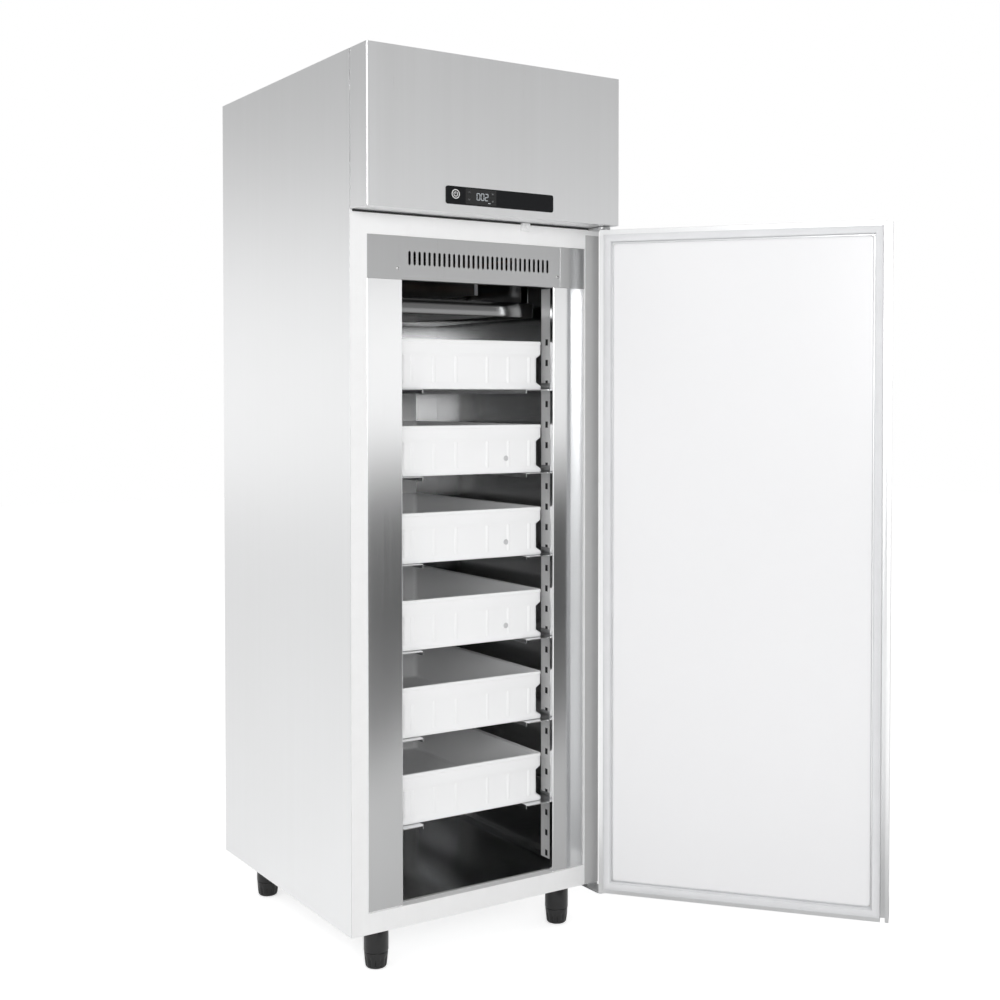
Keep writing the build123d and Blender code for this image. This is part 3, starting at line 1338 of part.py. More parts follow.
def door_switch_housing():
    """Small case on the frame, with a bore for the plunger."""
    x, z = switch_centre()
    outline = Pos(x, z) * flat_cornered(SWITCH_WIDTH, SWITCH_HEIGHT, SWITCH_CORNER)
    face = FRONT - SWITCH_DEPTH
    case = along_y(outline, face, FRONT)
    return case - rod_y(SWITCH_BUTTON_RADIUS + SWITCH_FIT, x, z, face - 1, face + SWITCH_BORE)


def door_switch_button():
    """Plunger that the closing door pushes in."""
    x, z = switch_centre()
    tip = FRONT - SWITCH_DEPTH - SWITCH_BUTTON_PROUD
    return rod_y(SWITCH_BUTTON_RADIUS, x, z, tip, tip + SWITCH_BUTTON_LENGTH)


# Screws


def screw_head(x, z, y0, y1):
    return along_y(Pos(x, z) * RegularPolygon(SCREW_RADIUS, 6), y0, y1)


def cabinet_screws():
    """Six-sided screw heads on the grille and the louvred panel."""
    heads = []
    y = FRONT + GRILLE_SETBACK
    for x in (-GRILLE_SCREW_X, GRILLE_SCREW_X):
        heads.append(screw_head(x, GRILLE_LOW + GRILLE_SCREW_ABOVE, y - SCREW_HEAD, y))
    edge = INNER_SKIN - LOUVRE_SCREW_INSET
    for x in (-edge, edge):
        for dz in (-LOUVRE_SCREW_PITCH, 0, LOUVRE_SCREW_PITCH):
            z = (DECK_TOP + BODY_HEIGHT) / 2 + dz
            heads.append(screw_head(x, z, BACK, BACK + SCREW_HEAD))
    return Compound([head.solids()[0] for head in heads])


def pair(shape):
    """A piece and its mirror image as one group."""
    return Compound([shape.solids()[0], mirrored(shape).solids()[0]])


def nodes():
    """Every named piece of the refrigerator."""
    levels = rack_levels()
    slides = Compound([slide(level).solids()[0] for level in levels])
    sleeve = leg_sleeve()
    feet = foot_places()
    pieces = {
        "side_panel_left": mirrored(side_panel_right()),
        "side_panel_right": side_panel_right(),
        "rear_panel": rear_panel(),
        "base_panel": base_panel(),
        "front_frame": front_frame(),
        "insulation_body": insulation_body(),
        "inner_liner": inner_liner(),
        "deck_panel": deck_panel(),
        "rear_louvre_panel": rear_louvre_panel(),
        "filler_left": mirrored(filler_right()),
        "filler_right": filler_right(),
        "grille_panel": grille_panel(),
        "front_uprights": pair(front_upright()),
        "rear_uprights": pair(rear_upright()),
        "slides_left": mirrored(slides),
        "slides_right": slides,
        "leg_sleeves": Compound([(Pos(x, y, 0) * sleeve).solids()[0] for x, y in feet.values()]),
        "upper_hinge_bracket": upper_hinge(),
        "lower_hinge_bracket": lower_hinge(),
        "fascia_hinges": fascia_hinges(),
        "door_switch_housing": door_switch_housing(),
        "compressor": compressor(),
        "condenser_coil": condenser_coil(),
        "fan_shroud": fan_shroud(),
        "condenser_motor": condenser_motor(),
        "filter_drier": filter_drier(),
        "refrigerant_pipes": refrigerant_pipes(),
        "evaporator_coil": evaporator_coil(),
        "evaporator_motor": evaporator_motor(),
        "evaporator_tray": evaporator_tray(),
        "electrical_box": electrical_box(),
        "power_inlet": power_inlet(),
        "cabinet_screws": cabinet_screws(),
        "door_skin": swung(door_skin()),
        "door_core": swung(door_core()),
        "door_inner_panel": swung(door_inner_panel()),
        "door_gasket": swung(door_gasket()),
        "hinge_bushes": swung(hinge_bushes()),
        "fascia_panel": fascia_panel(),
        "control_plate": control_plate(),
        "display_window": display_window(),
        "controller_housing": controller_housing(),
        "power_button": power_button(),
        "door_switch_button": door_switch_button(),
        "condenser_fan": condenser_fan(),
        "evaporator_fan": evaporator_fan(),
    }
    for i, level in enumerate(reversed(levels)):
        pieces[f"crate_{i + 1}"] = crate(level)
    for i in range(len(key_places())):
        pieces[f"key_{i + 1}"] = key(i)
    for name, (x, y) in feet.items():
        pieces[f"foot_{name}"] = Pos(x, y, 0) * levelling_foot()
    return pieces


def save(name, shape):
    solids = shape.solids()
    whole = solids[0] if len(solids) == 1 else Compound(list(solids))
    whole.label = name
    export_step(whole, f"parts/{name}.step")


def build():
    os.makedirs("parts", exist_ok=True)
    for name, shape in nodes().items():
        save(name, shape)


build()
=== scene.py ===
import json
from math import cos, pi, radians, sin, sqrt, tan, tau

import bmesh
import bpy
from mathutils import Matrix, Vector


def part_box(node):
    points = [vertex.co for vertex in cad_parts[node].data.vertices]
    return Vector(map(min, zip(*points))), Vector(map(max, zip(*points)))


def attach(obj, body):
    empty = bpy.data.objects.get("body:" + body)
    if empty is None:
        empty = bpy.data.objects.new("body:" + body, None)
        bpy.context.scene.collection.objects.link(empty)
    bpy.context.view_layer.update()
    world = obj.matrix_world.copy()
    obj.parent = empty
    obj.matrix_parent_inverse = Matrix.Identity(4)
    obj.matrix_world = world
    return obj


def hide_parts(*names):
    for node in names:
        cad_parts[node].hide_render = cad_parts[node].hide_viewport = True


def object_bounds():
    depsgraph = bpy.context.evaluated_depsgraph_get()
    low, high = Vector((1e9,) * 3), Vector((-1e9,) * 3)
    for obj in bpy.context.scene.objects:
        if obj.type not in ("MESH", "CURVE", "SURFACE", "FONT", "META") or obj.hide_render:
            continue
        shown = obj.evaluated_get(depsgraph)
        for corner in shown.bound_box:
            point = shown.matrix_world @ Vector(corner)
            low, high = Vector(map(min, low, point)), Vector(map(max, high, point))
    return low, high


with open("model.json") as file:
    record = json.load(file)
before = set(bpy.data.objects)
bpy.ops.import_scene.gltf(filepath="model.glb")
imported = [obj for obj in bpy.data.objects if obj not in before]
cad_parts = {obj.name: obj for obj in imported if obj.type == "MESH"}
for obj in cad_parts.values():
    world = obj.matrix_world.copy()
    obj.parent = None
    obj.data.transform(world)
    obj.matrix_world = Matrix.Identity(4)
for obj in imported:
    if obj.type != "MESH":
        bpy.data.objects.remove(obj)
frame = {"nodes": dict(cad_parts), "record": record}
cad_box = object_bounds()
nodes = frame["nodes"]


# Writing materials as Python expressions

EDGE_ROUNDING = 0.0009


class Value:
    """A number that changes over a surface, held by one socket."""

    def __init__(self, paint, socket):
        self.paint = paint
        self.socket = socket

    def maths(self, operation, *others):
        return self.paint.add("ShaderNodeMath", {"operation": operation}, self, *others)[0]

    def __add__(self, other):
        return self.maths("ADD", other)

    __radd__ = __add__

    def __sub__(self, other):
        return self.maths("SUBTRACT", other)

    def __rsub__(self, other):
        return self.paint.add("ShaderNodeMath", {"operation": "SUBTRACT"}, other, self)[0]

    def __mul__(self, other):
        return self.maths("MULTIPLY", other)

    __rmul__ = __mul__

    def __truediv__(self, other):
        return self.maths("DIVIDE", other)

    def __pow__(self, other):
        return self.maths("POWER", other)

    def above(self, edge):
        return self.maths("GREATER_THAN", edge)

    def low(self, other):
        return self.maths("MINIMUM", other)

    def high(self, other):
        return self.maths("MAXIMUM", other)

    def size(self):
        return self.maths("ABSOLUTE")

    def wave(self):
        return self.maths("SINE")


class Paint:
    """A material, or a node tree that is there already, and short ways to add its nodes."""

    def __init__(self, name="", tree=None):
        self.tree = tree
        if tree is None:
            self.material = bpy.data.materials.new(name)
            self.material.use_nodes = True
            self.tree = self.material.node_tree
            self.tree.nodes.clear()
            self.spot = self.add("ShaderNodeTexCoord", {})[3]

    def add(self, kind, settings, *values, **named):
        """Adds a node: its settings first, then its sockets by order or by name."""
        node = self.tree.nodes.new(kind)
        for name, setting in settings.items():
            if name == "stops":
                set_stops(node.color_ramp, setting)
            else:
                setattr(node, name, setting)
        for place, value in list(enumerate(values)) + list(named.items()):
            if value is not None:
                self.feed(node.inputs[place.replace("_", " ") if isinstance(place, str) else place], value)
        return [Value(self, output) for output in node.outputs]

    def feed(self, socket, value):
        if isinstance(value, Value):
            self.tree.links.new(value.socket, socket)
        else:
            socket.default_value = value

    def part(self, axis):
        """One of the object's own coordinates."""
        return self.add("ShaderNodeSeparateXYZ", {}, self.spot)[axis]

    def vector(self, x, y, z):
        return self.add("ShaderNodeCombineXYZ", {}, x, y, z)[0]

    def scattered(self, places, thing, **named):
        """The same thing at every place."""
        return self.add("GeometryNodeInstanceOnPoints", {}, places, None, thing, **named)[0]

    def noise(self, scale, detail=4, roughness=0.5, stretch=None):
        """Noise over the object's own coordinates, stretched first where asked."""
        spot = self.spot
        if stretch:
            spot = self.add("ShaderNodeVectorMath", {"operation": "MULTIPLY"}, spot, stretch)[0]
        return self.add("ShaderNodeTexNoise", {}, Vector=spot, Scale=scale, Detail=detail, Roughness=roughness)[0]

    def ramp(self, value, *stops):
        """Number from 0 to 1 turned into a grey through stops of (place, level)."""
        coloured = [(place, (level, level, level, 1)) for place, level in stops]
        return self.add("ShaderNodeValToRGB", {"stops": coloured}, value)[0]

    def blend(self, share, first, second):
        """Mix of two colours."""
        node = self.tree.nodes.new("ShaderNodeMix")
        node.data_type = "RGBA"
        for place, value in ((0, share), (6, first), (7, second)):
            self.feed(node.inputs[place], value)
        return Value(self, node.outputs[2])

    def bump(self, height, distance):
        """Fine relief on top of edges that are rounded to the eye."""
        soft = self.add("ShaderNodeBevel", {"samples": 4}, EDGE_ROUNDING)[0]
        return self.add("ShaderNodeBump", {}, Height=height, Distance=distance, Strength=1, Normal=soft)[0]

    def surface(self, colour, roughness, normal=None, **sockets):
        """The finished shader."""
        sockets.update(Base_Color=colour, Roughness=roughness, Normal=normal)
        shader = self.add("ShaderNodeBsdfPrincipled", {}, **sockets)[0]
        self.add("ShaderNodeOutputMaterial", {}, shader)
        return self.material

    def lamp(self, strength):
        """White light of a strength that may change over the surface."""
        return self.add("ShaderNodeEmission", {}, (1, 1, 1, 1), strength)[0]


def set_stops(ramp, stops):
    while len(ramp.elements) > 1:
        ramp.elements.remove(ramp.elements[0])
    for i, (place, colour) in enumerate(stops):
        element = ramp.elements[0] if i == 0 else ramp.elements.new(place)
        element.position = place
        element.color = colour


def grey(level, warmth=0):
    return (level * (1 + warmth), level, level * (1 - warmth), 1)


def dimmed(colour, share):
    return tuple(c * share for c in colour[:3]) + (1,)


# Finishes


def brushed_steel(name, level, rough, depth, grain="z"):
    """Stainless sheet ground along one direction, with faint clouds and fine lines."""
    paint = Paint(name)
    lines = paint.noise(1, 3, 0.6, {"x": (3, 900, 900), "z": (900, 900, 3)}[grain])
    streaks = paint.noise(1, 4, 0.55, {"x": (0.7, 60, 60), "z": (60, 60, 0.7)}[grain])
    clouds = paint.noise(2.2, 3)
    smears = paint.noise(9, 5, 0.6)
    tone = lines * 0.45 + streaks * 0.3 + clouds * 0.25
    colour = paint.blend(tone, grey(level * 0.95), grey(level * 1.05, -0.01))
    gloss = rough + (streaks - 0.5) * 0.05 + (lines - 0.5) * 0.08 + (smears - 0.5) * 0.03
    return paint.surface(colour, gloss, paint.bump(lines, depth), Metallic=1)


def satin_sheet(name, level, metal=0.55):
    """Pickled stainless sheet: dull, pale and slightly mottled."""
    paint = Paint(name)
    mottle = paint.noise(40, 4, 0.6)
    rolled = paint.noise(1, 3, 0.6, (900, 900, 8))
    colour = paint.blend(mottle * 0.6 + rolled * 0.4, grey(level * 0.94), grey(level * 1.04))
    return paint.surface(colour, 0.38 + mottle * 0.12, paint.bump(rolled, 0.00001), Metallic=metal)


def galvanised_sheet():
    """Zinc coat with large flat crystals and a dull bloom."""
    paint = Paint("galvanised sheet")
    crystals = paint.add("ShaderNodeTexVoronoi", {"feature": "F1"}, Vector=paint.spot, Scale=70)[1]
    level = paint.add("ShaderNodeSeparateColor", {}, crystals)[0]
    bloom = paint.noise(6, 5, 0.6)
    colour = paint.blend(level * 0.6 + bloom * 0.4, grey(0.56), grey(0.66, -0.01))
    gloss = 0.38 + level * 0.06 + bloom * 0.06
    return paint.surface(colour, gloss, paint.bump(level, 0.00002), Metallic=1)


def moulded_plastic(name, colour, rough, grain_scale, depth, wear=0.05, shine=0.5):
    """Injection moulded plastic: a fine grain, slow flow marks and faint scuffs."""
    paint = Paint(name)
    grain = paint.noise(grain_scale, 2)
    flow = paint.noise(5, 4, 0.55)
    scuffs = paint.ramp(paint.noise(22, 8, 0.7, (1, 1, 6)), (0.55, 0), (0.7, 1))
    mixed = paint.blend(flow * 0.7 + grain * 0.3, colour, dimmed(colour, 1 - wear))
    gloss = rough + (flow - 0.5) * 0.06 + scuffs * 0.015
    return paint.surface(mixed, gloss, paint.bump(grain, depth), Specular_IOR_Level=shine)


def soft_rubber(name, colour):
    """Extruded seal with fine die lines along it and a dusty bloom."""
    paint = Paint(name)
    lines = paint.noise(900, 2)
    bloom = paint.noise(14, 5, 0.6)
    mixed = paint.blend(bloom * 0.7 + lines * 0.3, colour, dimmed(colour, 0.82))
    return paint.surface(mixed, 0.55 + bloom * 0.12, paint.bump(lines, 0.00003))


def foamed_core():
    """Cut polyurethane foam with open cells and a browned skin."""
    paint = Paint("foamed core")
    cells = paint.add("ShaderNodeTexVoronoi", {"feature": "F1"}, Vector=paint.spot, Scale=600)[0]
    colour = paint.blend(paint.noise(8, 5, 0.6), (0.83, 0.72, 0.44, 1), (0.66, 0.52, 0.27, 1))
    return paint.surface(colour, 0.85, paint.bump(cells, 0.0004))


def clear_window():
    """Dark glossy polycarbonate with a faint inner haze and wipe marks."""
    paint = Paint("display window")
    wipes = paint.noise(120, 5, 0.6, (1, 1, 5))
    colour = paint.blend(wipes, grey(0.006), grey(0.012, -0.03))
    return paint.surface(colour, 0.06 + wipes * 0.05, Coat_Weight=0.6, Coat_Roughness=0.04)


def fin_aluminium():
    """Thin aluminium fins with a milky oxide and small dents, kept dark as painted shade."""
    paint = Paint("fin aluminium")
    oxide = paint.noise(30, 5, 0.6)
    dents = paint.noise(1, 2, 0.5, (400, 60, 60))
    # Both greys are set low as painted shade of the coils; the milky oxide varies between them.
    colour = paint.blend(oxide, grey(0.52), grey(0.68, -0.01))
    return paint.surface(colour, 0.34 + oxide * 0.14, paint.bump(dents, 0.0001), Metallic=1)


def drawn_copper():
    """Copper tube with a brown tarnish in patches."""
    paint = Paint("drawn copper")
    tarnish = paint.ramp(paint.noise(25, 6, 0.62), (0.35, 0), (0.7, 1))
    lines = paint.noise(600, 2)
    colour = paint.blend(tarnish, (0.86, 0.44, 0.28, 1), (0.36, 0.17, 0.10, 1))
    return paint.surface(colour, 0.22 + tarnish * 0.26, paint.bump(lines, 0.00002), Metallic=1)


def black_enamel():
    """Stoved black paint of the compressor, a little orange-peeled and dusty in patches."""
    paint = Paint("black enamel")
    peel = paint.noise(260, 2)
    dust = paint.noise(18, 6, 0.65)
    colour = paint.blend(dust, grey(0.008), grey(0.026, 0.04))
    gloss = 0.26 + dust * 0.2
    return paint.surface(colour, gloss, paint.bump(peel, 0.0001), Coat_Weight=0.3, Coat_Roughness=0.2)


def bright_screw():
    """Plated steel with fine turning marks."""
    paint = Paint("bright screw")
    marks = paint.noise(1500, 2, 0.6)
    colour = paint.blend(marks, grey(0.55), grey(0.72))
    return paint.surface(colour, 0.2 + marks * 0.12, paint.bump(marks, 0.00001), Metallic=1)


def glowing_mark():
    """Lit digits: a pale emitter with a slightly uneven tone."""
    paint = Paint("lit digits")
    tone = paint.blend(paint.noise(400, 2), (0.46, 0.49, 0.52, 1), (0.56, 0.59, 0.62, 1))
    return paint.surface(tone, 0.4, Emission_Color=tone, Emission_Strength=0.08)


# Colour, roughness, scale and depth of the grain, and the wear where it isn't the usual
PLASTICS = {
    "crate_plastic": ((0.97, 0.972, 0.976, 1), 0.38, 700, 0.00003, 0.01),
    "door_liner": ((0.875, 0.875, 0.885, 1), 0.24, 300, 0.00002, 0.01),
    "leg_plastic": ((0.008, 0.008, 0.0085, 1), 0.2, 900, 0.00002, 0.3),
    "bush_plastic": ((0.72, 0.72, 0.69, 1), 0.4, 900, 0.00003),
    "black_plastic": ((0.015, 0.015, 0.016, 1), 0.42, 900, 0.00005, 0.3),
    "grey_plastic": ((0.34, 0.35, 0.36, 1), 0.45, 700, 0.00005),
    "white_plastic": ((0.93, 0.93, 0.93, 1), 0.3, 800, 0.00003),
}

finishes = {slot: moulded_plastic(slot.replace("_", " "), *values) for slot, values in PLASTICS.items()}
finishes |= {
    "stainless_outer": brushed_steel("ground steel outside", 0.90, 0.3, 0.00001),
    "stainless_inner": brushed_steel("bright steel inside", 0.80, 0.16, 0.000006),
    "galvanised": galvanised_sheet(),
    "foam": foamed_core(),
    "gasket": soft_rubber("door seal", (0.82, 0.825, 0.84, 1)),
    "label_black": moulded_plastic("label film", (0.006, 0.0065, 0.008, 1), 0.2, 1200, 0.00002, 0.3, 0.25),
    "display_glass": clear_window(),
    "compressor_black": black_enamel(),
    "coil_aluminium": fin_aluminium(),
    "copper": drawn_copper(),
    "screw_steel": bright_screw(),
}

# Finishes of single CAD nodes, and of the pieces that stand for them
own_finishes = {
    "front_frame": satin_sheet("satin frame steel", 0.96, 0.15),
    # The two fillers are one steel: the left copy is lighter as painted light, the right copy darker as painted
    # shade.
    "filler_left": brushed_steel("filler steel", 0.93, 0.16, 0.000006),
    "filler_right": brushed_steel("filler steel right", 0.8, 0.13, 0.000006),
    "grille_panel": brushed_steel("grille steel", 0.58, 0.3, 0.00001),
    "grille_end": brushed_steel("grille end steel", 0.5, 0.3, 0.00001),
    # The tub steel is a darker copy of the inside steel: painted shade of the tub's interior.
    "inner_liner": brushed_steel("tub steel, painted shade", 0.46, 0.2, 0.000006),
    # Grey of the hinge-side plate: painted shade of the frame beside the open door.
    "hinge_shade_plate": satin_sheet("hinge plate grey, painted shade", 0.52, 0.1),
    "drain_plug": moulded_plastic("plug plastic", (0.62, 0.62, 0.63, 1), 0.4, 700, 0.00003),
    # The pan steel is a much darker copy of the inside steel: painted shade and a painted dark reflection on the
    # drip pan.
    "evaporator_tray": brushed_steel("pan steel, painted shade", 0.26, 0.14, 0.000006, "x"),
    "front_uprights": satin_sheet("rack steel", 0.9, 0.3),
    "rear_uprights": satin_sheet("rack steel behind", 0.82),
}


def dress_cad_nodes():
    """Gives every CAD node the finish of its slot, or its own."""
    for part in frame["record"]["subparts"]:
        piece = nodes[part["node"]]
        for slot in piece.material_slots:
            slot.material = own_finishes.get(part["node"], finishes[part["material_slot"]])


# Shapes, written in millimetres

MM = 0.001

# Places in the cabinet that several pieces share
FRAME_FRONT = -365
OPENING_HALF = 297.5
SILL = 47
GRILLE_LOW = 1460
CEILING = 1557
DECK = 1633
EVAPORATOR_AXIS = (0, -135)  # x and y
CONDENSER_AXIS = (-180, 1753)  # x and z


class Form:
    """Corners and faces gathered for one piece before its mesh is made."""

    def __init__(self):
        self.points = []
        self.faces = []

    def skin(self, rings, closed=False):
        """Joins a row of outlines that have as many corners each, and caps its two ends."""
        start, count = len(self.points), len(rings[0])
        for ring in rings:
            self.points += ring
        for r in range(len(rings) if closed else len(rings) - 1):
            a, b = start + r * count, start + (r + 1) % len(rings) * count
            for i in range(count):
                j = (i + 1) % count
                self.faces.append((a + i, a + j, b + j, b + i))
        if not closed:
            self.faces.append(tuple(range(start, start + count)))
            self.faces.append(tuple(range(len(self.points) - count, len(self.points))))
        return self

    def block(self, x0, x1, y0, y1, z0, z1, edge=0.6):
        """Box with its upright edges rounded and its top and bottom edges eased."""
        x, y = (x0 + x1) / 2, (y0 + y1) / 2
        half_x, half_y = (x1 - x0) / 2, (y1 - y0) / 2
        inset = (half_x - edge, half_y - edge, edge)
        return self.skin(
            [
                rounded(*inset, z0, x, y, 3),
                rounded(half_x, half_y, edge, z0 + edge, x, y, 3),
                rounded(half_x, half_y, edge, z1 - edge, x, y, 3),
                rounded(*inset, z1, x, y, 3),
            ]
        )

    def turned(self, profile, x=0, y=0, sides=48, closed=False):
        """Round solid about an upright axis, from its profile of (radius, height)."""
        return self.skin([circle(radius, z, x, y, sides) for radius, z in profile], closed)

    def stacked(self, outlines, x=0, y=0):
        """Solid through round-cornered outlines of (half x, half y, corner, height)."""
        return self.skin([rounded(hx, hy, corner, z, x, y) for hx, hy, corner, z in outlines])

    def moved(self, change, start=0):
        """Sends every corner from a given one onwards through a change of place."""
        self.points[start:] = [change(*point) for point in self.points[start:]]
        return self


def rounded(half_x, half_y, corner, z, x=0, y=0, steps=6):
    """Rectangle with round corners, at one height."""
    outline = []
    for turn, (side_x, side_y) in enumerate(((1, 1), (-1, 1), (-1, -1), (1, -1))):
        for i in range(steps + 1):
            angle = pi / 2 * (turn + i / steps)
            across = x + side_x * (half_x - corner) + corner * cos(angle)
            along = y + side_y * (half_y - corner) + corner * sin(angle)
            outline.append((across, along, z))
    return outline


def circle(radius, z, x=0, y=0, sides=48, flutes=0, sink=0):
    """Round outline at one height, drawn in at each flute."""
    outline = []
    for i in range(sides):
        angle = tau * i / sides
        reach = radius - sink * max(0, cos(flutes * angle)) ** 2 if flutes else radius
        outline.append((x + reach * cos(angle), y + reach * sin(angle), z))
    return outline


def along_y(x, y, z):
    """Turns a shape made about the Z axis to lie about the Y axis."""
    return (x, z, -y)


def shifted(dx, dy, dz):
    return lambda x, y, z: (x + dx, y + dy, z + dz)


def tube(form, corners, radius, bend, sides=16):
    """Round tube along straight runs, turned through smooth bends."""
    points = [Vector(corner) for corner in corners]
    route = [points[0]]
    for before, middle, after in zip(points, points[1:], points[2:]):
        back, ahead = (before - middle).normalized(), (after - middle).normalized()
        opening = back.angle(ahead) / 2
        cut = bend / tan(opening)
        centre = middle + (back + ahead).normalized() * (bend / sin(opening))
        first, last = middle + back * cut - centre, middle + ahead * cut - centre
        turn = first.rotation_difference(last)
        for i in range(9):
            share = type(turn)().slerp(turn, i / 8)
            route.append(centre + share @ first)
    route.append(points[-1])
    way = (route[1] - route[0]).normalized()
    side = way.orthogonal().normalized()
    rings = []
    for i, point in enumerate(route):
        ahead = route[min(i + 1, len(route) - 1)] - route[max(i - 1, 0)]
        turn = way.rotation_difference(ahead.normalized())
        side, way = (turn @ side).normalized(), ahead.normalized()
        up = way.cross(side)
        angles = [tau * k / sides for k in range(sides)]
        rings.append([tuple(point + (side * cos(a) + up * sin(a)) * radius) for a in angles])
    return form.skin(rings)


def placed(name, data):
    """New object in the scene that holds the given data."""
    thing = bpy.data.objects.new(name, data)
    bpy.context.scene.collection.objects.link(thing)
    return thing


def keep(name, mesh, body, stands_for=()):
    """Hangs a finished mesh on its body, under the given name, and hides the CAD nodes it stands for."""
    thing = placed(name, mesh)
    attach(thing, body)
    if stands_for:
        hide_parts(*stands_for)
    return thing


def piece(name, form, body, slot, stands_for=(), sharp=32, finish=None):
    """Makes a closed mesh of a form, with its faces turned outwards."""
    mesh = bpy.data.meshes.new(name)
    mesh.from_pydata([Vector(point) * MM for point in form.points], [], form.faces)
    shape = bmesh.new()
    shape.from_mesh(mesh)
    bmesh.ops.remove_doubles(shape, verts=shape.verts, dist=1e-6)
    bmesh.ops.recalc_face_normals(shape, faces=shape.faces)
    shape.to_mesh(mesh)
    shape.free()
    mesh.shade_smooth()
    mesh.set_sharp_from_angle(angle=radians(sharp))
    mesh.materials.append(finish or own_finishes.get((*stands_for, name)[0], finishes[slot]))
    return keep(name, mesh, body, stands_for)


def grown(name, places, tree_of, sizes, body, slot, stands_for=(), facing=None, sharp=32):
    """Runs a node tree over a few places and keeps what it makes as a plain mesh."""
    tree = bpy.data.node_groups.new(name, "GeometryNodeTree")
    tree.interface.new_socket("Geometry", in_out="INPUT", socket_type="NodeSocketGeometry")
    inputs = {}
    for label, size in sizes.items():
        kind = "NodeSocketInt" if isinstance(size, int) else "NodeSocketFloat"
        inputs[label] = tree.interface.new_socket(label, in_out="INPUT", socket_type=kind).identifier
    tree.interface.new_socket("Geometry", in_out="OUTPUT", socket_type="NodeSocketGeometry")
    work = Paint(tree=tree)
    given = work.add("NodeGroupInput", {})
    shape = tree_of(work, given[0], dict(zip(sizes, given[1:])))
    real = work.add("GeometryNodeRealizeInstances", {}, shape)[0]
    dressed = work.add("GeometryNodeSetMaterial", {}, real, None, finishes[slot])[0]
    work.add("NodeGroupOutput", {}, dressed)
    seed = bpy.data.meshes.new(name)
    seed.from_pydata([Vector(place) * MM for place in places], [], [])
    if facing:
        seed.attributes.new("facing", "FLOAT_VECTOR", "POINT")
        for i, way in enumerate(facing):
            seed.attributes["facing"].data[i].vector = way
    source = placed(name, seed)
    modifier = source.modifiers.new(name, "NODES")
    modifier.node_group = tree
    for label, size in sizes.items():
        modifier[inputs[label]] = size
    grasp = bpy.context.evaluated_depsgraph_get()
    made = bpy.data.meshes.new_from_object(source.evaluated_get(grasp))
    source.modifiers.remove(modifier)
    bpy.data.objects.remove(source)
    made.shade_smooth()
    made.set_sharp_from_angle(angle=radians(sharp))
    return keep(name, made, body, stands_for)


# Door


PIVOT = (329.5, -407.5)
DOOR_TURN = radians(130)
DOOR_FACE = -379
SEAL_FIELD = (-320, 327, 7.3, 1585.8)
SEAL_WIDTH = 19


def swung(x, y, z):
    """Takes a corner of the closed door to its open place."""
    dx, dy = x - PIVOT[0], y - PIVOT[1]
    c, s = cos(DOOR_TURN), sin(DOOR_TURN)
    return (PIVOT[0] + dx * c - dy * s, PIVOT[1] + dx * s + dy * c, z)


def make_door_seal():
    """Magnetic seal with a base, a bellows and a rounded head, mitred at the corners."""
    half = [(9, 0), (9.5, 1.2), (8.7, 3), (6.4, 3.8), (5.2, 5), (6.2, 6.8), (5.2, 8.4), (7.2, 9.2), (8.5, 10.4)]
    half += [(8.6, 12.4), (7.6, 13.5)]
    profile = half + [(-u, v) for u, v in reversed(half)]
    left, right, low, high = SEAL_FIELD
    rings = []
    for side_x, side_z in ((1, 1), (-1, 1), (-1, -1), (1, -1)):
        ring = []
        for u, v in profile:
            inset = SEAL_WIDTH / 2 + u
            x = right - inset if side_x > 0 else left + inset
            z = high - inset if side_z > 0 else low + inset
            ring.append((x, DOOR_FACE + v, z))
        rings.append(ring)
    form = Form().skin(rings, closed=True).moved(swung)
    piece("door_seal", form, "door", "gasket", ["door_gasket"], sharp=50)


def make_door_panel():
    """Vacuum-formed inner panel with a rolled edge."""
    left, right, low, high = (-298.5, 305.5, 28.8, 1564.3)
    x, z = (left + right) / 2, (low + high) / 2
    half_x, half_z = (right - left) / 2, (high - low) / 2
    rise = [(0, -3), (0, 0.4), (0.5, 2), (1.6, 3), (3.4, 3.45), (6, 3.5)]
    rings = []
    for inset, height in rise:
        outline = rounded(half_x - inset, half_z - inset, 8 - inset / 2, 0, x, z)
        rings.append([(px, DOOR_FACE + height, pz) for px, pz, _ in outline])
    form = Form().skin(rings).moved(swung)
    piece("door_panel", form, "door", "door_liner", ["door_inner_panel"])


# Crates


CRATE_HALF = (200, 300)
CRATE_Y = -25
# Inset in x and in y from CRATE_HALF, corner radius, height over the underside
CRATE_WALLS = [
    (-4, -4, 6, 0), (-1, -1, 9, 1), (0, 0, 10, 3.5), (0, 0, 10, 7.6),
    (-0.8, -0.2, 10, 9), (-11, -1.6, 12, 16.4), (-12, -2, 12, 18.4), (-12, -2, 12, 74.6),
    (-11, -1.6, 12, 76.6), (-1.4, -1, 10, 84), (-0.8, -0.8, 10, 85.4), (-0.8, -0.8, 10, 107.6),
    (-0.1, -0.1, 10, 108.6), (0, 0, 10, 109.6), (0, 0, 10, 113.8), (-0.8, -0.8, 9.4, 115.4),
    (-2.4, -2.4, 8.4, 116), (-5.6, -3.6, 8, 116), (-6.4, -3.9, 8, 114.9), (-10.6, -4.3, 8, 114.9),
    (-11.4, -4.5, 8, 116), (-14.4, -5, 9, 116), (-15.6, -5.7, 10, 115.4), (-16, -6, 11, 114),
    (-16.6, -6.6, 12, 12), (-18, -8, 12, 7), (-21, -11, 12, 4.6), (-26, -16, 12, 4),
]
RIB_ENDS = (43, 102.5, 162)
PLUGGED = (2, 3, 4)


def rib_tree(work, places, size):
    """Rounded upright rib at every place."""
    bar = work.add("GeometryNodeMeshCylinder", {"fill_type": "NGON"}, 16, 1, 1, 1, size["Height"])[0]
    scale = work.vector(size["Half width"], size["Half depth"], 1)
    rib = work.add("GeometryNodeTransform", {}, bar, Scale=scale)[0]
    return work.scattered(places, rib)


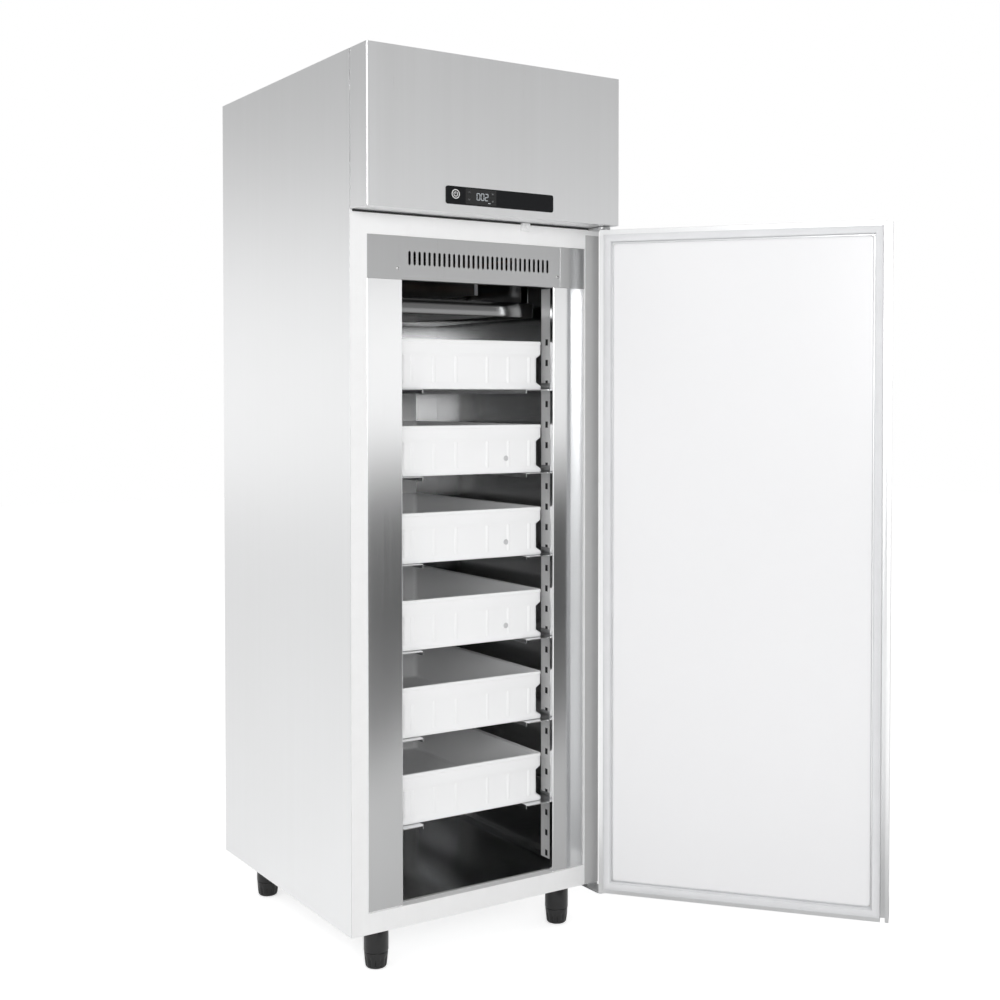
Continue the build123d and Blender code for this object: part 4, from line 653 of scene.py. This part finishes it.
def make_crates():
    """Six moulded crates with a grooved rim, and their ribs and drain bosses."""
    for number in range(1, 7):
        node, body = f"crate_{number}", f"crate_{number}_body"
        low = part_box(node)[0][2] / MM
        rings = [
            rounded(CRATE_HALF[0] + dx, CRATE_HALF[1] + dy, corner, low + up, 0, CRATE_Y, 7)
            for dx, dy, corner, up in CRATE_WALLS
        ]
        piece(f"{node}_tub", Form().skin(rings), body, "crate_plastic", [node], sharp=28)
        middle = low + 46.5
        ends = [(s * x, CRATE_Y + e * 297.9, middle) for x in RIB_ENDS for s in (-1, 1) for e in (-1, 1)]
        size = {"Half width": 4.5 * MM, "Half depth": 1.6 * MM, "Height": 62 * MM}
        grown(f"{node}_end_ribs", ends, rib_tree, size, body, "crate_plastic")
        sides = [(s * 191.2, CRATE_Y + e * 100, middle) for s in (-1, 1) for e in (-1, 1)]
        size = {"Half width": 6.4 * MM, "Half depth": 2 * MM, "Height": 64 * MM}
        grown(f"{node}_side_ribs", sides, rib_tree, size, body, "crate_plastic")
        if number in PLUGGED:
            boss = [(6.5, 0), (6.5, 1), (5.6, 1.7), (3.4, 1.8), (3, 0.5)]
            form = Form().turned(boss, sides=24).moved(along_y)
            form.moved(lambda x, y, z: (95 + x, -322.9 - y, low + 36 + z))
            piece(f"{node}_drain", form, body, "crate_plastic", finish=own_finishes["drain_plug"])


# Legs


def make_legs():
    """Four plastic sleeves on square flanges, and the fluted feet below them."""
    flange = [(34, 34, 11, 0), (34, 34, 11, -2.2), (33.2, 33.2, 11, -3), (29.5, 29.5, 11, -3)]
    sleeve = [(28.5, -2), (28.5, -57.5), (28.1, -59.4), (27, -60), (12.4, -60), (12.4, -6)]
    # Radius, height and depth of the flutes of a foot
    tread = [(12, -12.4, 0), (12, -60.3, 0), (26.6, -60.3, 0), (27.4, -61.2, 0), (27.5, -64, 0), (27.3, -68, 0)]
    tread += [(27, -71, 1.6), (26.4, -78, 2.8), (25.4, -86, 2.8), (24.9, -89.6, 2), (24.7, -90.6, 0)]
    tread += [(24.4, -93, 0), (22.6, -95.8, 0), (19, -97.4, 0), (14, -98, 0)]
    sleeves = Form()
    for corner in ("front_left", "front_right", "rear_left", "rear_right"):
        low, high = (Vector(end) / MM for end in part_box(f"foot_{corner}"))
        x, y = (low.x + high.x) / 2, (low.y + high.y) / 2
        sleeves.stacked(flange, x, y).turned(sleeve, x, y)
        rings = [circle(radius, z, x, y, 72, 12, sink) for radius, z, sink in tread]
        piece(f"tread_{corner}", Form().skin(rings), f"foot_{corner}_body", "leg_plastic", [f"foot_{corner}"])
    piece("sleeves", sleeves, "cabinet", "leg_plastic", ["leg_sleeves"])


# Thin pieces round the front opening


def arc(x, y, radius, first, last):
    angles = [radians(first + (last - first) * i / 6) for i in range(7)]
    return [(x + radius * cos(a), y + radius * sin(a)) for a in angles]


def make_fillers():
    """Two folded strips with rounded folds."""
    inner, outer, front, back = 206, OPENING_HALF, -361, -348
    fold, sheet = 3.4, 1
    outline = [(inner, back)]
    outline += arc(inner + fold, front + fold, fold, 180, 270)
    outline += arc(outer - fold, front + fold, fold, 270, 360)
    outline += [(outer, back), (outer - sheet, back)]
    outline += arc(outer - fold, front + fold, fold - sheet, 360, 270)
    outline += arc(inner + fold, front + fold, fold - sheet, 270, 180)
    outline += [(inner + sheet, back)]
    for side, node in ((1, "filler_right"), (-1, "filler_left")):
        rings = [[(side * x, y, z) for x, y in outline] for z in (SILL, GRILLE_LOW)]
        piece(f"{node}_strip", Form().skin(rings), "cabinet", "stainless_inner", [node], 40)


def make_grille_end():
    """Cover plate on the right end of the grille panel."""
    front, low, high = -362.9, GRILLE_LOW + 0.4, CEILING - 0.4
    rings = []
    for left, right, rise in ((226, 296.9, 0), (225.4, OPENING_HALF, 0.3), (225.4, OPENING_HALF, 0.9)):
        rings.append([(x, front + rise, z) for x, z in ((left, low), (right, low), (right, high), (left, high))])
    piece("grille_end", Form().skin(rings), "cabinet", "stainless_inner")


def make_hinge_shade_plate():
    """Grey plate on the hinge side of the front frame, behind the door seal: painted shade along the hinge side
    of the opening.
    """
    form = Form().block(298.6, 338.4, FRAME_FRONT - 0.3, FRAME_FRONT + 0.2, 1, 1590, 0.2)
    piece("hinge_shade_plate", form, "cabinet", "stainless_inner")


def make_fascia_gap_shade():
    """Dark strip behind the fascia's lower edge: painted shade standing for the shadowed gap there."""
    form = Form().block(-334, 334, FRAME_FRONT - 1.9, FRAME_FRONT, 1603.4, 1607.3, 0.3)
    piece("fascia_gap_shade", form, "cabinet", "gasket", finish=finishes["black_plastic"])


def make_upright_hole_shade():
    """Black strips behind the perforated faces of the front uprights: painted shade that makes the holes look
    dark.
    """
    form = Form()
    for side in (-1, 1):
        form.block(*sorted((side * 218.4, side * 219.4)), -338, -296, 69, 1459, 0.4)
    piece("upright_hole_shade", form, "cabinet", "black_plastic")


# Controls


SEGMENTS = {"0": "abcdef", "2": "abdeg"}
# Ends of a digit's strokes, as shares of its width and height
STROKES = {
    "a": (0, 1, 1, 1), "b": (1, 0.5, 1, 1), "c": (1, 0, 1, 0.5), "d": (0, 0, 1, 0),
    "e": (0, 0, 0, 0.5), "f": (0, 0.5, 0, 1), "g": (0, 0.5, 1, 0.5),
}


def bar(form, x0, z0, x1, z1, width, front, rise):
    """Flat pointed stroke between two places on the control plate."""
    start, end = Vector((x0, z0)), Vector((x1, z1))
    way = (end - start).normalized()
    side = Vector((-way.y, way.x)) * width / 2
    tip = way * width / 2
    outline = [start - tip, start + side, end + side, end + tip, end - side, start - side]
    form.skin([[(p.x, y, p.y) for p in outline] for y in (front, front - rise)])


def make_digits():
    """Three seven-segment digits and a status bar behind the display window."""
    form, front, width, height = Form(), -447.2, 7.6, 14.6
    for place, digit in enumerate("002"):
        x, z = -63.4 + 10.9 * place, 1638.4
        for name in SEGMENTS[digit]:
            x0, z0, x1, z1 = STROKES[name]
            start = Vector((x + x0 * width, z + z0 * height))
            end = Vector((x + x1 * width, z + z1 * height))
            gap = (end - start).normalized() * 0.9
            bar(form, *(start + gap), *(end - gap), 1.5, front, 0.12)
    bar(form, -33, 1632.6, -28, 1632.6, 1.7, front, 0.12)
    piece("display_digits", form, "fascia", "white_plastic", finish=glowing_mark())


def ring_band(form, x, z, inner, outer, front, rise, first=0, last=360):
    """Flat band round a centre, whole or in part."""
    steps = 40
    whole = last - first >= 360
    angles = [radians(first + (last - first) * i / steps) for i in range(steps if whole else steps + 1)]
    section = ((inner, front), (outer, front), (outer, front - rise), (inner, front - rise))
    rings = [[(x + r * cos(a), y, z + r * sin(a)) for r, y in section] for a in angles]
    form.skin(rings, closed=whole)


def make_marks():
    """Printed marks of the power button and the four keys."""
    power, x, z, front = Form(), -119, 1647.5, -447.5
    ring_band(power, x, z, 8.6, 10.4, front, 0.1)
    ring_band(power, x, z, 4.2, 5.6, front, 0.1, 125, 415)
    bar(power, x, z + 1.1, x, z + 5.9, 1.4, front, 0.1)
    piece("power_mark", power, "power_button_body", "white_plastic")
    front = -448.3
    marks = {
        "key_1": [(-86, 1653, -84, 1655.4), (-84, 1655.4, -82, 1653)],
        "key_2": [(-86, 1638.7, -84, 1636.3), (-84, 1636.3, -82, 1638.7)],
        "key_3": [(-24, 1654, -20, 1654), (-22, 1652, -22, 1656)],
        "key_4": [
            (-24.2, 1637.5, -19.8, 1637.5), (-23.1, 1635.6, -20.9, 1639.4), (-20.9, 1635.6, -23.1, 1639.4)
        ],
    }
    for node, strokes in marks.items():
        form = Form()
        for stroke in strokes:
            bar(form, *stroke, 0.7, front, 0.1)
        piece(f"{node}_mark", form, f"{node}_body", "grey_plastic")


# Screws


def island_places(node):
    """Lowest and highest corner of every loose lump in a CAD node, always in the same order."""
    shape = bmesh.new()
    shape.from_mesh(nodes[node].data)
    bmesh.ops.remove_doubles(shape, verts=shape.verts, dist=1e-6)
    left, found = set(shape.verts), []
    while left:
        lump, edge = set(), [left.pop()]
        while edge:
            corner = edge.pop()
            lump.add(corner)
            for link in corner.link_edges:
                other = link.other_vert(corner)
                if other not in lump:
                    left.discard(other)
                    edge.append(other)
        spots = [corner.co for corner in lump]
        low = Vector([min(s[k] for s in spots) for k in range(3)])
        high = Vector([max(s[k] for s in spots) for k in range(3)])
        found.append((low, high))
    shape.free()
    return sorted(found, key=lambda ends: tuple(ends[0]))


def screw_tree(work, places, size):
    """Domed head with a cross recess, turned at random."""
    ball = work.add("GeometryNodeMeshUVSphere", {}, 24, 16, 1)[0]
    scale = work.vector(size["Radius"], size["Radius"], size["Rise"])
    head = work.add("GeometryNodeTransform", {}, ball, Scale=scale)[0]
    length, width = size["Radius"] * 1.15, size["Radius"] * 0.26
    for across, along in ((length, width), (width, length)):
        block = work.add("GeometryNodeMeshCube", {}, work.vector(across, along, size["Rise"]))[0]
        up = work.vector(0, 0, size["Rise"])
        arm = work.add("GeometryNodeTransform", {}, block, Translation=up)[0]
        head = work.add("GeometryNodeMeshBoolean", {"operation": "DIFFERENCE"}, head, arm)[0]
    facing = work.add("GeometryNodeInputNamedAttribute", {"data_type": "FLOAT_VECTOR"}, "facing")[0]
    upright = work.add("FunctionNodeAlignRotationToVector", {"axis": "Z"}, Vector=facing)[0]
    twist = work.add("FunctionNodeRandomValue", {}, None, None, 0, 3, Seed=7)[1]
    roll = work.vector(0, 0, twist)
    turned = work.add("FunctionNodeRotateRotation", {"rotation_space": "LOCAL"}, upright, roll)[0]
    return work.scattered(places, head, Rotation=turned)


def make_screws():
    """Cross-recess heads in place of the plain ones."""
    places, facing = [], []
    for low, high in island_places("cabinet_screws"):
        middle = (low + high) / 2
        forward = middle.y < 0
        places.append((middle.x / MM, (high.y if forward else low.y) / MM, middle.z / MM))
        facing.append((0, -1, 0) if forward else (0, 1, 0))
    size = {"Radius": 4 * MM, "Rise": 1.8 * MM}
    grown("panel_screws", places, screw_tree, size, "cabinet", "screw_steel", ["cabinet_screws"], facing, 30)


# Cooling unit


def fin_tree(work, places, size):
    """Row of thin corrugated fins, one row at every place."""
    sheet = work.vector(size["Thickness"], size["Depth"], size["Height"])
    plate = work.add("GeometryNodeMeshCube", {}, sheet, 2, 17, 2)[0]
    here = work.add("GeometryNodeInputPosition", {})[0]
    along = work.add("ShaderNodeSeparateXYZ", {}, here)[1]
    ripple = (along / size["Ripple pitch"] * tau).wave() * size["Ripple"]
    shove = work.vector(ripple, 0, 0)
    fin = work.add("GeometryNodeSetPosition", {}, plate, Offset=shove)[0]
    step = work.vector(size["Pitch"], 0, 0)
    row = work.add("GeometryNodeMeshLine", {}, size["Count"], Offset=step)[0]
    fins = work.scattered(row, fin)
    return work.scattered(places, fins)


def make_coil(node, box, pitch, rows, columns):
    """Finned block between two folded end plates, with its tubes and return bends."""
    x0, x1, y0, y1, z0, z1 = box
    plate, flange, rail = 1.5, 9, 1.2
    count = int((x1 - x0 - 2 * plate - pitch) / pitch)
    start = (x0 + x1) / 2 - pitch * (count - 1) / 2
    size = {
        "Count": count,
        "Pitch": pitch * MM,
        "Thickness": 0.3 * MM,
        "Depth": (y1 - y0 - 3) * MM,
        "Height": (z1 - z0 - 3) * MM,
        "Ripple": 0.5 * MM,
        "Ripple pitch": (y1 - y0) / 4 * MM,
    }
    middle = (start, (y0 + y1) / 2, (z0 + z1) / 2)
    grown(f"{node}_fins", [middle], fin_tree, size, "cabinet", "coil_aluminium", [node])
    plates = Form()
    for face, out in ((x0, -1), (x1, 1)):
        inside, lip = face - out * plate, face + out * flange
        outline = [(inside, y0), (lip, y0), (lip, y0 + rail), (face, y0 + rail)]
        outline += [(face, y1 - rail), (lip, y1 - rail), (lip, y1), (inside, y1)]
        plates.skin([[(x, y, z) for x, y in outline] for z in (z0, z1)])
    piece(f"{node}_plates", plates, "cabinet", "galvanised")
    tubes, radius, bend = Form(), 4.7, 11
    ring = [(py, pz) for py, pz, _ in circle(radius, 0, sides=12)]
    gap_z, gap_y = (z1 - z0) / rows, (y1 - y0) / columns
    for column in range(columns):
        y = y0 + gap_y * (column + 0.5)
        for row in range(rows):
            z = z0 + gap_z * (row + 0.5)
            tubes.skin([[(x, y + py, z + pz) for py, pz in ring] for x in (x0 - 1, x1 + 1)])
            if row < rows - 1:
                face, out = (x1, 1) if row % 2 else (x0, -1)
                ends = [(face - out * 2, y, z), (face + out * 16, y, z)]
                ends += [(face + out * 16, y, z + gap_z), (face - out * 2, y, z + gap_z)]
                tube(tubes, ends, radius, min(bend, gap_z / 2 - 0.3), 12)
    piece(f"{node}_tubes", tubes, "cabinet", "copper")


# Radius, chord, pitch and sweep of a blade, in millimetres and degrees
BLADE_STATIONS = [
    (23, 27, 36, 0),
    (38, 38, 31, 3),
    (56, 47, 27, 7),
    (74, 51, 23, 12),
    (88, 49, 20, 17),
    (96, 42, 19, 20),
    (100, 30, 18, 22),
]


def make_fan(node, body, reach, place):
    """Domed hub with five swept, cambered and twisted blades."""
    form = Form()
    hub = [(3, 0.4), (7, 0), (19, 0.6), (23.6, 2.2), (25.6, 5), (26, 8), (26, 24.6), (25.2, 26), (9, 26), (8, 24)]
    hub += [(4.4, 24)]
    form.turned(hub, sides=40)
    steps, camber, thick = 9, 4.2, 1.9
    for number in range(5):
        rings = []
        for radius, chord, pitch, sweep in BLADE_STATIONS:
            radius = min(radius, 100) * reach / 100
            tilt = radians(pitch)
            lead = radians(sweep + 72 * number)
            outline = []
            for side in (1, -1):
                for i in range(steps):
                    t = side * (2 * i / (steps - 1) - 1)
                    half = thick / 2 * sqrt(max(0, 1 - t**4)) + 0.12
                    u, w = t * chord / 2, camber * (1 - t * t) - side * half
                    turn = lead + (u * cos(tilt) - w * sin(tilt)) / radius
                    z = 12 + u * sin(tilt) + w * cos(tilt) - camber / 2
                    outline.append((radius * cos(turn), radius * sin(turn), z))
            rings.append(outline)
        form.skin(rings)
    piece(f"{node}_wheel", form.moved(place), body, "black_plastic", [node], sharp=45)


def motor_form(half, length):
    """Square fan motor with rounded edges, three cooling grooves and a shaft."""
    profile = [(0, 12, half - 1.4), (1.4, 12, half)]
    for groove in (0.32, 0.5, 0.68):
        z = length * groove
        profile += [(z - 2.6, 12, half), (z - 1.8, 11, half - 2.2)]
        profile += [(z + 1.8, 11, half - 2.2), (z + 2.6, 12, half)]
    profile += [(length - 3, 12, half), (length - 0.8, 11, half - 1.6), (length, 10, half - 5)]
    rings = [rounded(reach, reach, corner, z, steps=5) for z, corner, reach in profile]
    for radius, z in ((10, length), (9.4, length + 1.6), (4, length + 1.6), (4, length + 19)):
        rings.append(circle(radius, z, sides=24))
    return Form().skin(rings)


def make_motors():
    """Evaporator motor on the ceiling; condenser motor on its strap."""
    x, y = EVAPORATOR_AXIS
    form = motor_form(34, 42).moved(lambda px, py, pz: (x + px, y + py, CEILING - pz))
    piece("evaporator_motor_case", form, "cabinet", "black_plastic", ["evaporator_motor"])
    (x, z), back = CONDENSER_AXIS, -189
    form = motor_form(36, 55).moved(lambda px, py, pz: (x + px, back - pz, z + py))
    piece("condenser_motor_case", form, "cabinet", "black_plastic", ["condenser_motor"])
    reach, near, far, rear = 107, -257, -244, -241
    outline = [(-reach, near), (-reach, far + 1), (-reach + 2, rear), (reach - 2, rear), (reach, far + 1)]
    outline += [(reach, near), (reach - 3, near), (reach - 3, far - 1), (reach - 4, far)]
    outline += [(-reach + 4, far), (-reach + 3, far - 1), (-reach + 3, near)]
    strap = Form().skin([[(x + px, py, z + dz) for px, py in outline] for dz in (-6, 6)])
    piece("condenser_motor_strap", strap, "cabinet", "galvanised")


def make_shroud():
    """Pressed plate drawn into a round throat with a rolled rim."""
    (x, z), front, hole = CONDENSER_AXIS, -285, 105
    rings = [rounded(130, 120, 5, 0, steps=11), rounded(130, 120, 5, 2, steps=11)]
    drawn = [(118, 2), (111, 3.2), (108, 6.5), (107, 11), (107, 26.2), (108.6, 27.2), (108.6, 28.4), (107, 28.9)]
    drawn += [(105.6, 28.2), (hole, 26.5), (hole, 11), (106, 5.6), (109.6, 1.4), (117, 0)]
    rings += [circle(radius, up, sides=48) for radius, up in drawn]
    form = Form().skin(rings, closed=True).moved(along_y).moved(shifted(x, front, z))
    piece("fan_shroud_throat", form, "cabinet", "galvanised", ["fan_shroud"])


def make_compressor():
    """Welded shell with a belt seam and domed lid, on a plate with rubber mounts."""
    x, y = -180, 160
    shell = [(60, 1652), (79, 1652), (82.2, 1655), (83, 1661), (83, 1751)]
    shell += [(83.6, 1752.4), (86.8, 1752.8), (88, 1754), (88, 1757.4), (86.6, 1758)]
    shell += [(88, 1758.6), (88, 1762), (86.8, 1763.2), (83.6, 1763.6), (83, 1765)]
    for i in range(10):
        turn = radians(10 * i)
        shell.append((83 - 40 * (1 - cos(turn)), 1803 + 40 * sin(turn)))
    shell += [(12, 1843), (11, 1846.5), (7.5, 1848), (6.6, 1852), (5.2, 1853)]
    form = Form().turned(shell, x, y, 64)
    form.stacked([(115, 75, 20, 1649), (115, 75, 20, 1652.2), (114.2, 74.2, 20, 1653)], x, y)
    form.block(x - 27, x + 27, 58, 84, 1688, 1748, 3.5)
    form.block(x - 29, x + 29, 56, 60, 1686, 1750, 1.8)
    mount = [(13.4, DECK), (14, 1634), (14, 1638), (10.5, 1639.6), (10.5, 1642.4), (14, 1644), (14, 1649)]
    for px, py in ((x + sx * 95, y + sy * 55) for sx in (-1, 1) for sy in (-1, 1)):
        form.turned(mount, px, py, 24)
        form.turned([(8, 1653), (8, 1654.4)], px, py, 24)
        form.turned([(5.6, 1654.4), (5.6, 1659)], px, py, 6)
        form.turned([(3, 1659), (3, 1663)], px, py, 16)
    piece("compressor_shell", form, "cabinet", "compressor_black", ["compressor"])


def make_lines():
    """Copper lines with brazed collars, and the drier bottle between them."""
    over, low, front = 1893, 1663, -315
    discharge = [(-180, 160, 1850), (-180, 160, over), (0, 160, over), (0, front, over), (0, front, 1823)]
    routes = [
        discharge + [(-50, front, 1823)],
        [(-50, front, low), (20, front, low), (20, -222, low)],
        [(20, -98, low), (20, 60, low), (120, 60, low), (120, 60, 1550)],
        [(160, 60, 1550), (160, 60, 1703), (160, 160, 1703), (-99, 160, 1703)],
    ]
    form = Form()
    for route in routes:
        tube(form, route, 5, 25)
        for end, inner in ((route[0], route[1]), (route[-1], route[-2])):
            way = (Vector(inner) - Vector(end)).normalized() * 9
            tube(form, [end, tuple(Vector(end) + way)], 6.3, 1)
    piece("lines", form, "cabinet", "copper", ["refrigerant_pipes"])
    to_drier = shifted(20, 0, float(low))
    bottle = [(5.4, -225), (6.6, -224), (6.6, -219), (8.6, -216.6), (12.6, -214.4), (15.2, -211), (16, -206)]
    bottle += [(16, -114), (15.2, -109), (12.6, -105.6), (8.6, -103.4), (6.6, -101), (6.6, -96), (5.4, -95)]
    form = Form().turned(bottle, sides=32).moved(along_y).moved(to_drier)
    piece("drier_bottle", form, "cabinet", "copper", ["filter_drier"])
    saddle = Form().block(8, 32, -172, -148, DECK + 1, 1649, 1.5)
    saddle.block(-4, 44, -175, -145, DECK, 1636, 1.2)
    start = len(saddle.points)
    saddle.turned([(16.1, -170), (17.1, -170), (17.1, -150), (16.1, -150)], sides=32, closed=True)
    saddle.moved(along_y, start).moved(to_drier, start)
    piece("drier_saddle", saddle, "cabinet", "galvanised")


def make_electrical_box():
    """Moulded box with a lipped lid, cable glands and lid screws."""
    x, y, top = 185, -270, 1756
    walls = [(113.5, 63.5, 7, DECK), (114.4, 64.4, 8, 1634), (115, 65, 8, 1747), (118, 68, 10, 1747)]
    walls += [(118, 68, 10, 1753.4), (117.2, 67.2, 10, 1755), (115.6, 65.6, 9, top)]
    form = Form().stacked(walls, x, y)
    gland = [(8.6, 4), (8.6, 8), (7.4, 10.5), (5.4, 12), (4.4, 12), (4.4, 9)]
    for across in (110, 150, 190):
        start = len(form.points)
        form.turned([(10.5, 0), (10.5, 4.5)], sides=6).turned(gland, sides=24)
        form.moved(along_y, start).moved(shifted(across, -205.6, 1660), start)
    piece("electrical_case", form, "cabinet", "grey_plastic", ["electrical_box"])
    corners = [(x + sx * 106, y + sy * 56, top) for sx in (-1, 1) for sy in (-1, 1)]
    size = {"Radius": 3.4 * MM, "Rise": 1.5 * MM}
    grown("lid_screws", corners, screw_tree, size, "cabinet", "screw_steel", facing=[(0, 0, 1)] * 4, sharp=30)


def make_tray():
    """Drip pan with rolled edges, hung on four straps."""
    walls = [(219.5, 242.5, 3, 1392), (221.6, 244.6, 4, 1392.8), (222, 245, 4, 1395), (222, 245, 4, 1427)]
    walls += [(221.4, 244.4, 4, 1428), (218.6, 241.6, 3, 1428), (218, 241, 3, 1426.6), (218.2, 241.2, 3, 1425.4)]
    walls += [(220.6, 243.6, 3.5, 1425.2), (220.8, 243.8, 3.5, 1396), (219, 242, 3, 1393.4)]
    form = Form().stacked(walls, 0, -10)
    for side in (-1, 1):
        for near in (-230, 180):
            ends = sorted((side * 220.6, side * 222))
            form.block(*ends, near, near + 30, 1420, CEILING, 0.5)
            form.block(*ends, near + 2, near + 28, 1428, 1470, 0.5)
    piece("drip_pan", form, "cabinet", "stainless_inner", ["evaporator_tray"])


def hood_tree(work, places, size):
    """Pressed hood over the inner side of a slot, at every place."""
    sheet = work.vector(size["Length"], size["Sheet"], size["Height"])
    plate = work.add("GeometryNodeMeshCube", {}, sheet, 25, 2, 9)[0]
    here = work.add("GeometryNodeInputPosition", {})[0]
    x, _, z = work.add("ShaderNodeSeparateXYZ", {}, here)
    across = 1 - (x.size() / size["Length"] * 2) ** 8
    down = (0.5 - z / size["Height"]).low(1) * (pi / 2)
    bulge = down.wave() * across * size["Depth"]
    shove = work.vector(0, bulge * -1, 0)
    hood = work.add("GeometryNodeSetPosition", {}, plate, Offset=shove)[0]
    return work.scattered(places, hood)


def make_hoods():
    """Rain hoods pressed inwards behind the slots of the rear panel."""
    places = [(x, 362.6, 1820 + 24 * (row - 3.5) + 0.5) for x in (-140, 140) for row in range(8)]
    size = {"Length": 212 * MM, "Sheet": 1 * MM, "Height": 12 * MM, "Depth": 8 * MM}
    grown("louvre_hoods", places, hood_tree, size, "cabinet", "galvanised", sharp=40)


def make_cooling_unit():
    make_coil("evaporator_coil", (-200, 200, -15, 195, 1462, int(CEILING)), 5, 3, 7)
    make_coil("condenser_coil", (-310, -50, -345, -285, int(DECK), 1873), 3.2, 9, 2)
    make_fan("evaporator_fan", "evaporator_fan_body", 95, shifted(*EVAPORATOR_AXIS, 1486))

    def in_throat(x, y, z):
        x, y, z = along_y(x, y, z)
        return (x + CONDENSER_AXIS[0], y - 273, z + CONDENSER_AXIS[1])

    make_fan("condenser_fan", "condenser_fan_body", 100, in_throat)
    make_motors()
    make_shroud()
    make_compressor()
    make_lines()
    make_electrical_box()
    make_tray()
    make_hoods()


# Camera, floor, light


FLOOR_LEVEL = cad_box[0][2]
WORLD_FILL = 0.55
FLOOR_GLOW = 0.62
MIRRORED_GLOW = 0.5
CARD_HEIGHT = 1.02
CARD_SHADE = ((0, 0.10), (0.62, 0.12), (1, 0.80))
FLOOR_SHADE = (
    (0, 0.12), (0.25, 0.14), (0.42, 0.18), (0.55, 0.25), (0.66, 0.45), (0.75, 0.54), (0.89, 0.51), (1, 0.45)
)
# Sine of the height and brightness of what metal sees to the right and to the left
WALL_LEVELS = ((-1, 1), (0.082, 1.04), (0.115, 0.46), (1, 0.44))
SIDE_LEVELS = (
    (-1, 1), (0.02, 1.06), (0.07, 0.97), (0.11, 0.87), (0.14, 0.68), (0.17, 0.52), (0.2, 0.46), (1, 0.46)
)


def place_camera():
    """The camera that was solved from the photograph."""
    data = bpy.data.cameras.new("camera")
    data.sensor_width = 36
    data.lens = 50.37
    data.shift_y = -0.0697
    camera = placed("camera", data)
    camera.location = (-1.7308, -3.1150, 1.1946)
    camera.rotation_euler = (pi / 2 - 0.023, 0, -0.575)
    bpy.context.scene.camera = camera


def lay_sheet(name, corners, material):
    """Four-cornered sheet that belongs to the studio."""
    mesh = bpy.data.meshes.new(name)
    mesh.from_pydata(corners, [], [(0, 1, 2, 3)])
    mesh.materials.append(material)
    sheet = placed(name, mesh)
    return sheet


def lay_floor():
    """Pale floor under the feet, white to the camera where no shadow lies on it."""
    paint = Paint("studio floor")
    dust = paint.noise(3)
    seen = paint.add("ShaderNodeLightPath", {})
    glow = seen[0].high(seen[3] * MIRRORED_GLOW).high(seen[6])
    matt = paint.add("ShaderNodeBsdfDiffuse", {}, paint.blend(dust, grey(0.80), grey(0.82)))[0]
    both = paint.add("ShaderNodeAddShader", {}, matt, paint.lamp(glow * FLOOR_GLOW))[0]
    paint.add("ShaderNodeOutputMaterial", {}, both)
    reach = 14
    corners = [(x * reach, y * reach, FLOOR_LEVEL) for x, y in ((-1, -1), (1, -1), (1, 1), (-1, 1))]
    lay_sheet("floor", corners, paint.material)


def fill_world():
    """White surroundings to the eye; metal sees a wall that darkens above head height."""
    world = bpy.data.worlds.new("studio")
    world.use_nodes = True
    world.node_tree.nodes.clear()
    paint = Paint(tree=world.node_tree)
    way = paint.add("ShaderNodeTexCoord", {})[0]
    across, _, height = paint.add("ShaderNodeSeparateXYZ", {}, way)
    lift = height * 0.5 + 0.5
    right = paint.ramp(lift, *((0.5 + edge / 2, level) for edge, level in WALL_LEVELS))
    left = paint.ramp(lift, *((0.5 + edge / 2, level) for edge, level in SIDE_LEVELS))
    wall = paint.blend(across.above(0), left, right)
    path = paint.add("ShaderNodeLightPath", {})
    eye = path[0]
    metal = path[3].high(path[6]) * (1 - eye)
    strength = eye + metal * wall + (1 - eye) * (1 - metal) * WORLD_FILL
    light = paint.add("ShaderNodeBackground", {}, (1, 1, 1, 1), strength)[0]
    paint.add("ShaderNodeOutputWorld", {}, light)
    bpy.context.scene.world = world


def fading_light(name, axis, start, reach, stops):
    """Light whose strength runs through the stops along one axis."""
    paint = Paint(name)
    fade = paint.ramp((paint.part(axis) - start) / reach, *stops)
    paint.add("ShaderNodeOutputMaterial", {}, paint.lamp(fade))
    return paint.material


def stand_dark_cards():
    """Dark screen beside the camera and a cloth before it, seen by metal alone, as in a studio."""
    near, far = (1, -4.9), (4.6, -4)
    top, cloth = FLOOR_LEVEL + CARD_HEIGHT, FLOOR_LEVEL + 0.002
    screen = [(*near, FLOOR_LEVEL), (*far, FLOOR_LEVEL), (*far, top), (*near, top)]
    shade = fading_light("dark_screen", 2, FLOOR_LEVEL, CARD_HEIGHT, CARD_SHADE)
    cards = [lay_sheet("dark_screen", screen, shade)]
    ground = [(-0.35, -0.5, cloth), (0.9, -0.5, cloth), (*far, cloth), (*near, cloth)]
    shade = fading_light("dark_floor_cloth", 1, -4.9, 4.4, FLOOR_SHADE)
    cards.append(lay_sheet("dark_floor_cloth", ground, shade))
    for card in cards:
        card.visible_camera = False
        card.visible_diffuse = False
        card.visible_shadow = False
        card.visible_transmission = False


def add_lamp(name, place, width, height, power):
    """Soft rectangular lamp that faces the middle of the door opening."""
    data = bpy.data.lights.new(name, "AREA")
    data.shape = "RECTANGLE"
    data.size = width
    data.size_y = height
    data.energy = power
    lamp = placed(name, data)
    lamp.location = place
    lamp.rotation_euler = (Vector((0, 0, 0.9)) - Vector(place)).to_track_quat("-Z", "Y").to_euler()


bpy.context.scene.view_settings.view_transform = "Standard"
dress_cad_nodes()
make_door_seal()
make_door_panel()
make_crates()
make_legs()
make_fillers()
make_grille_end()
make_upright_hole_shade()
make_hinge_shade_plate()
make_fascia_gap_shade()
make_digits()
make_marks()
make_screws()
make_cooling_unit()
place_camera()
lay_floor()
fill_world()
stand_dark_cards()
add_lamp("front_softbox", (-1.8, -4.4, 2), 2.4, 1.8, 78)
add_lamp("side_softbox", (-4.2, -0.6, 3.9), 2.2, 2, 45)
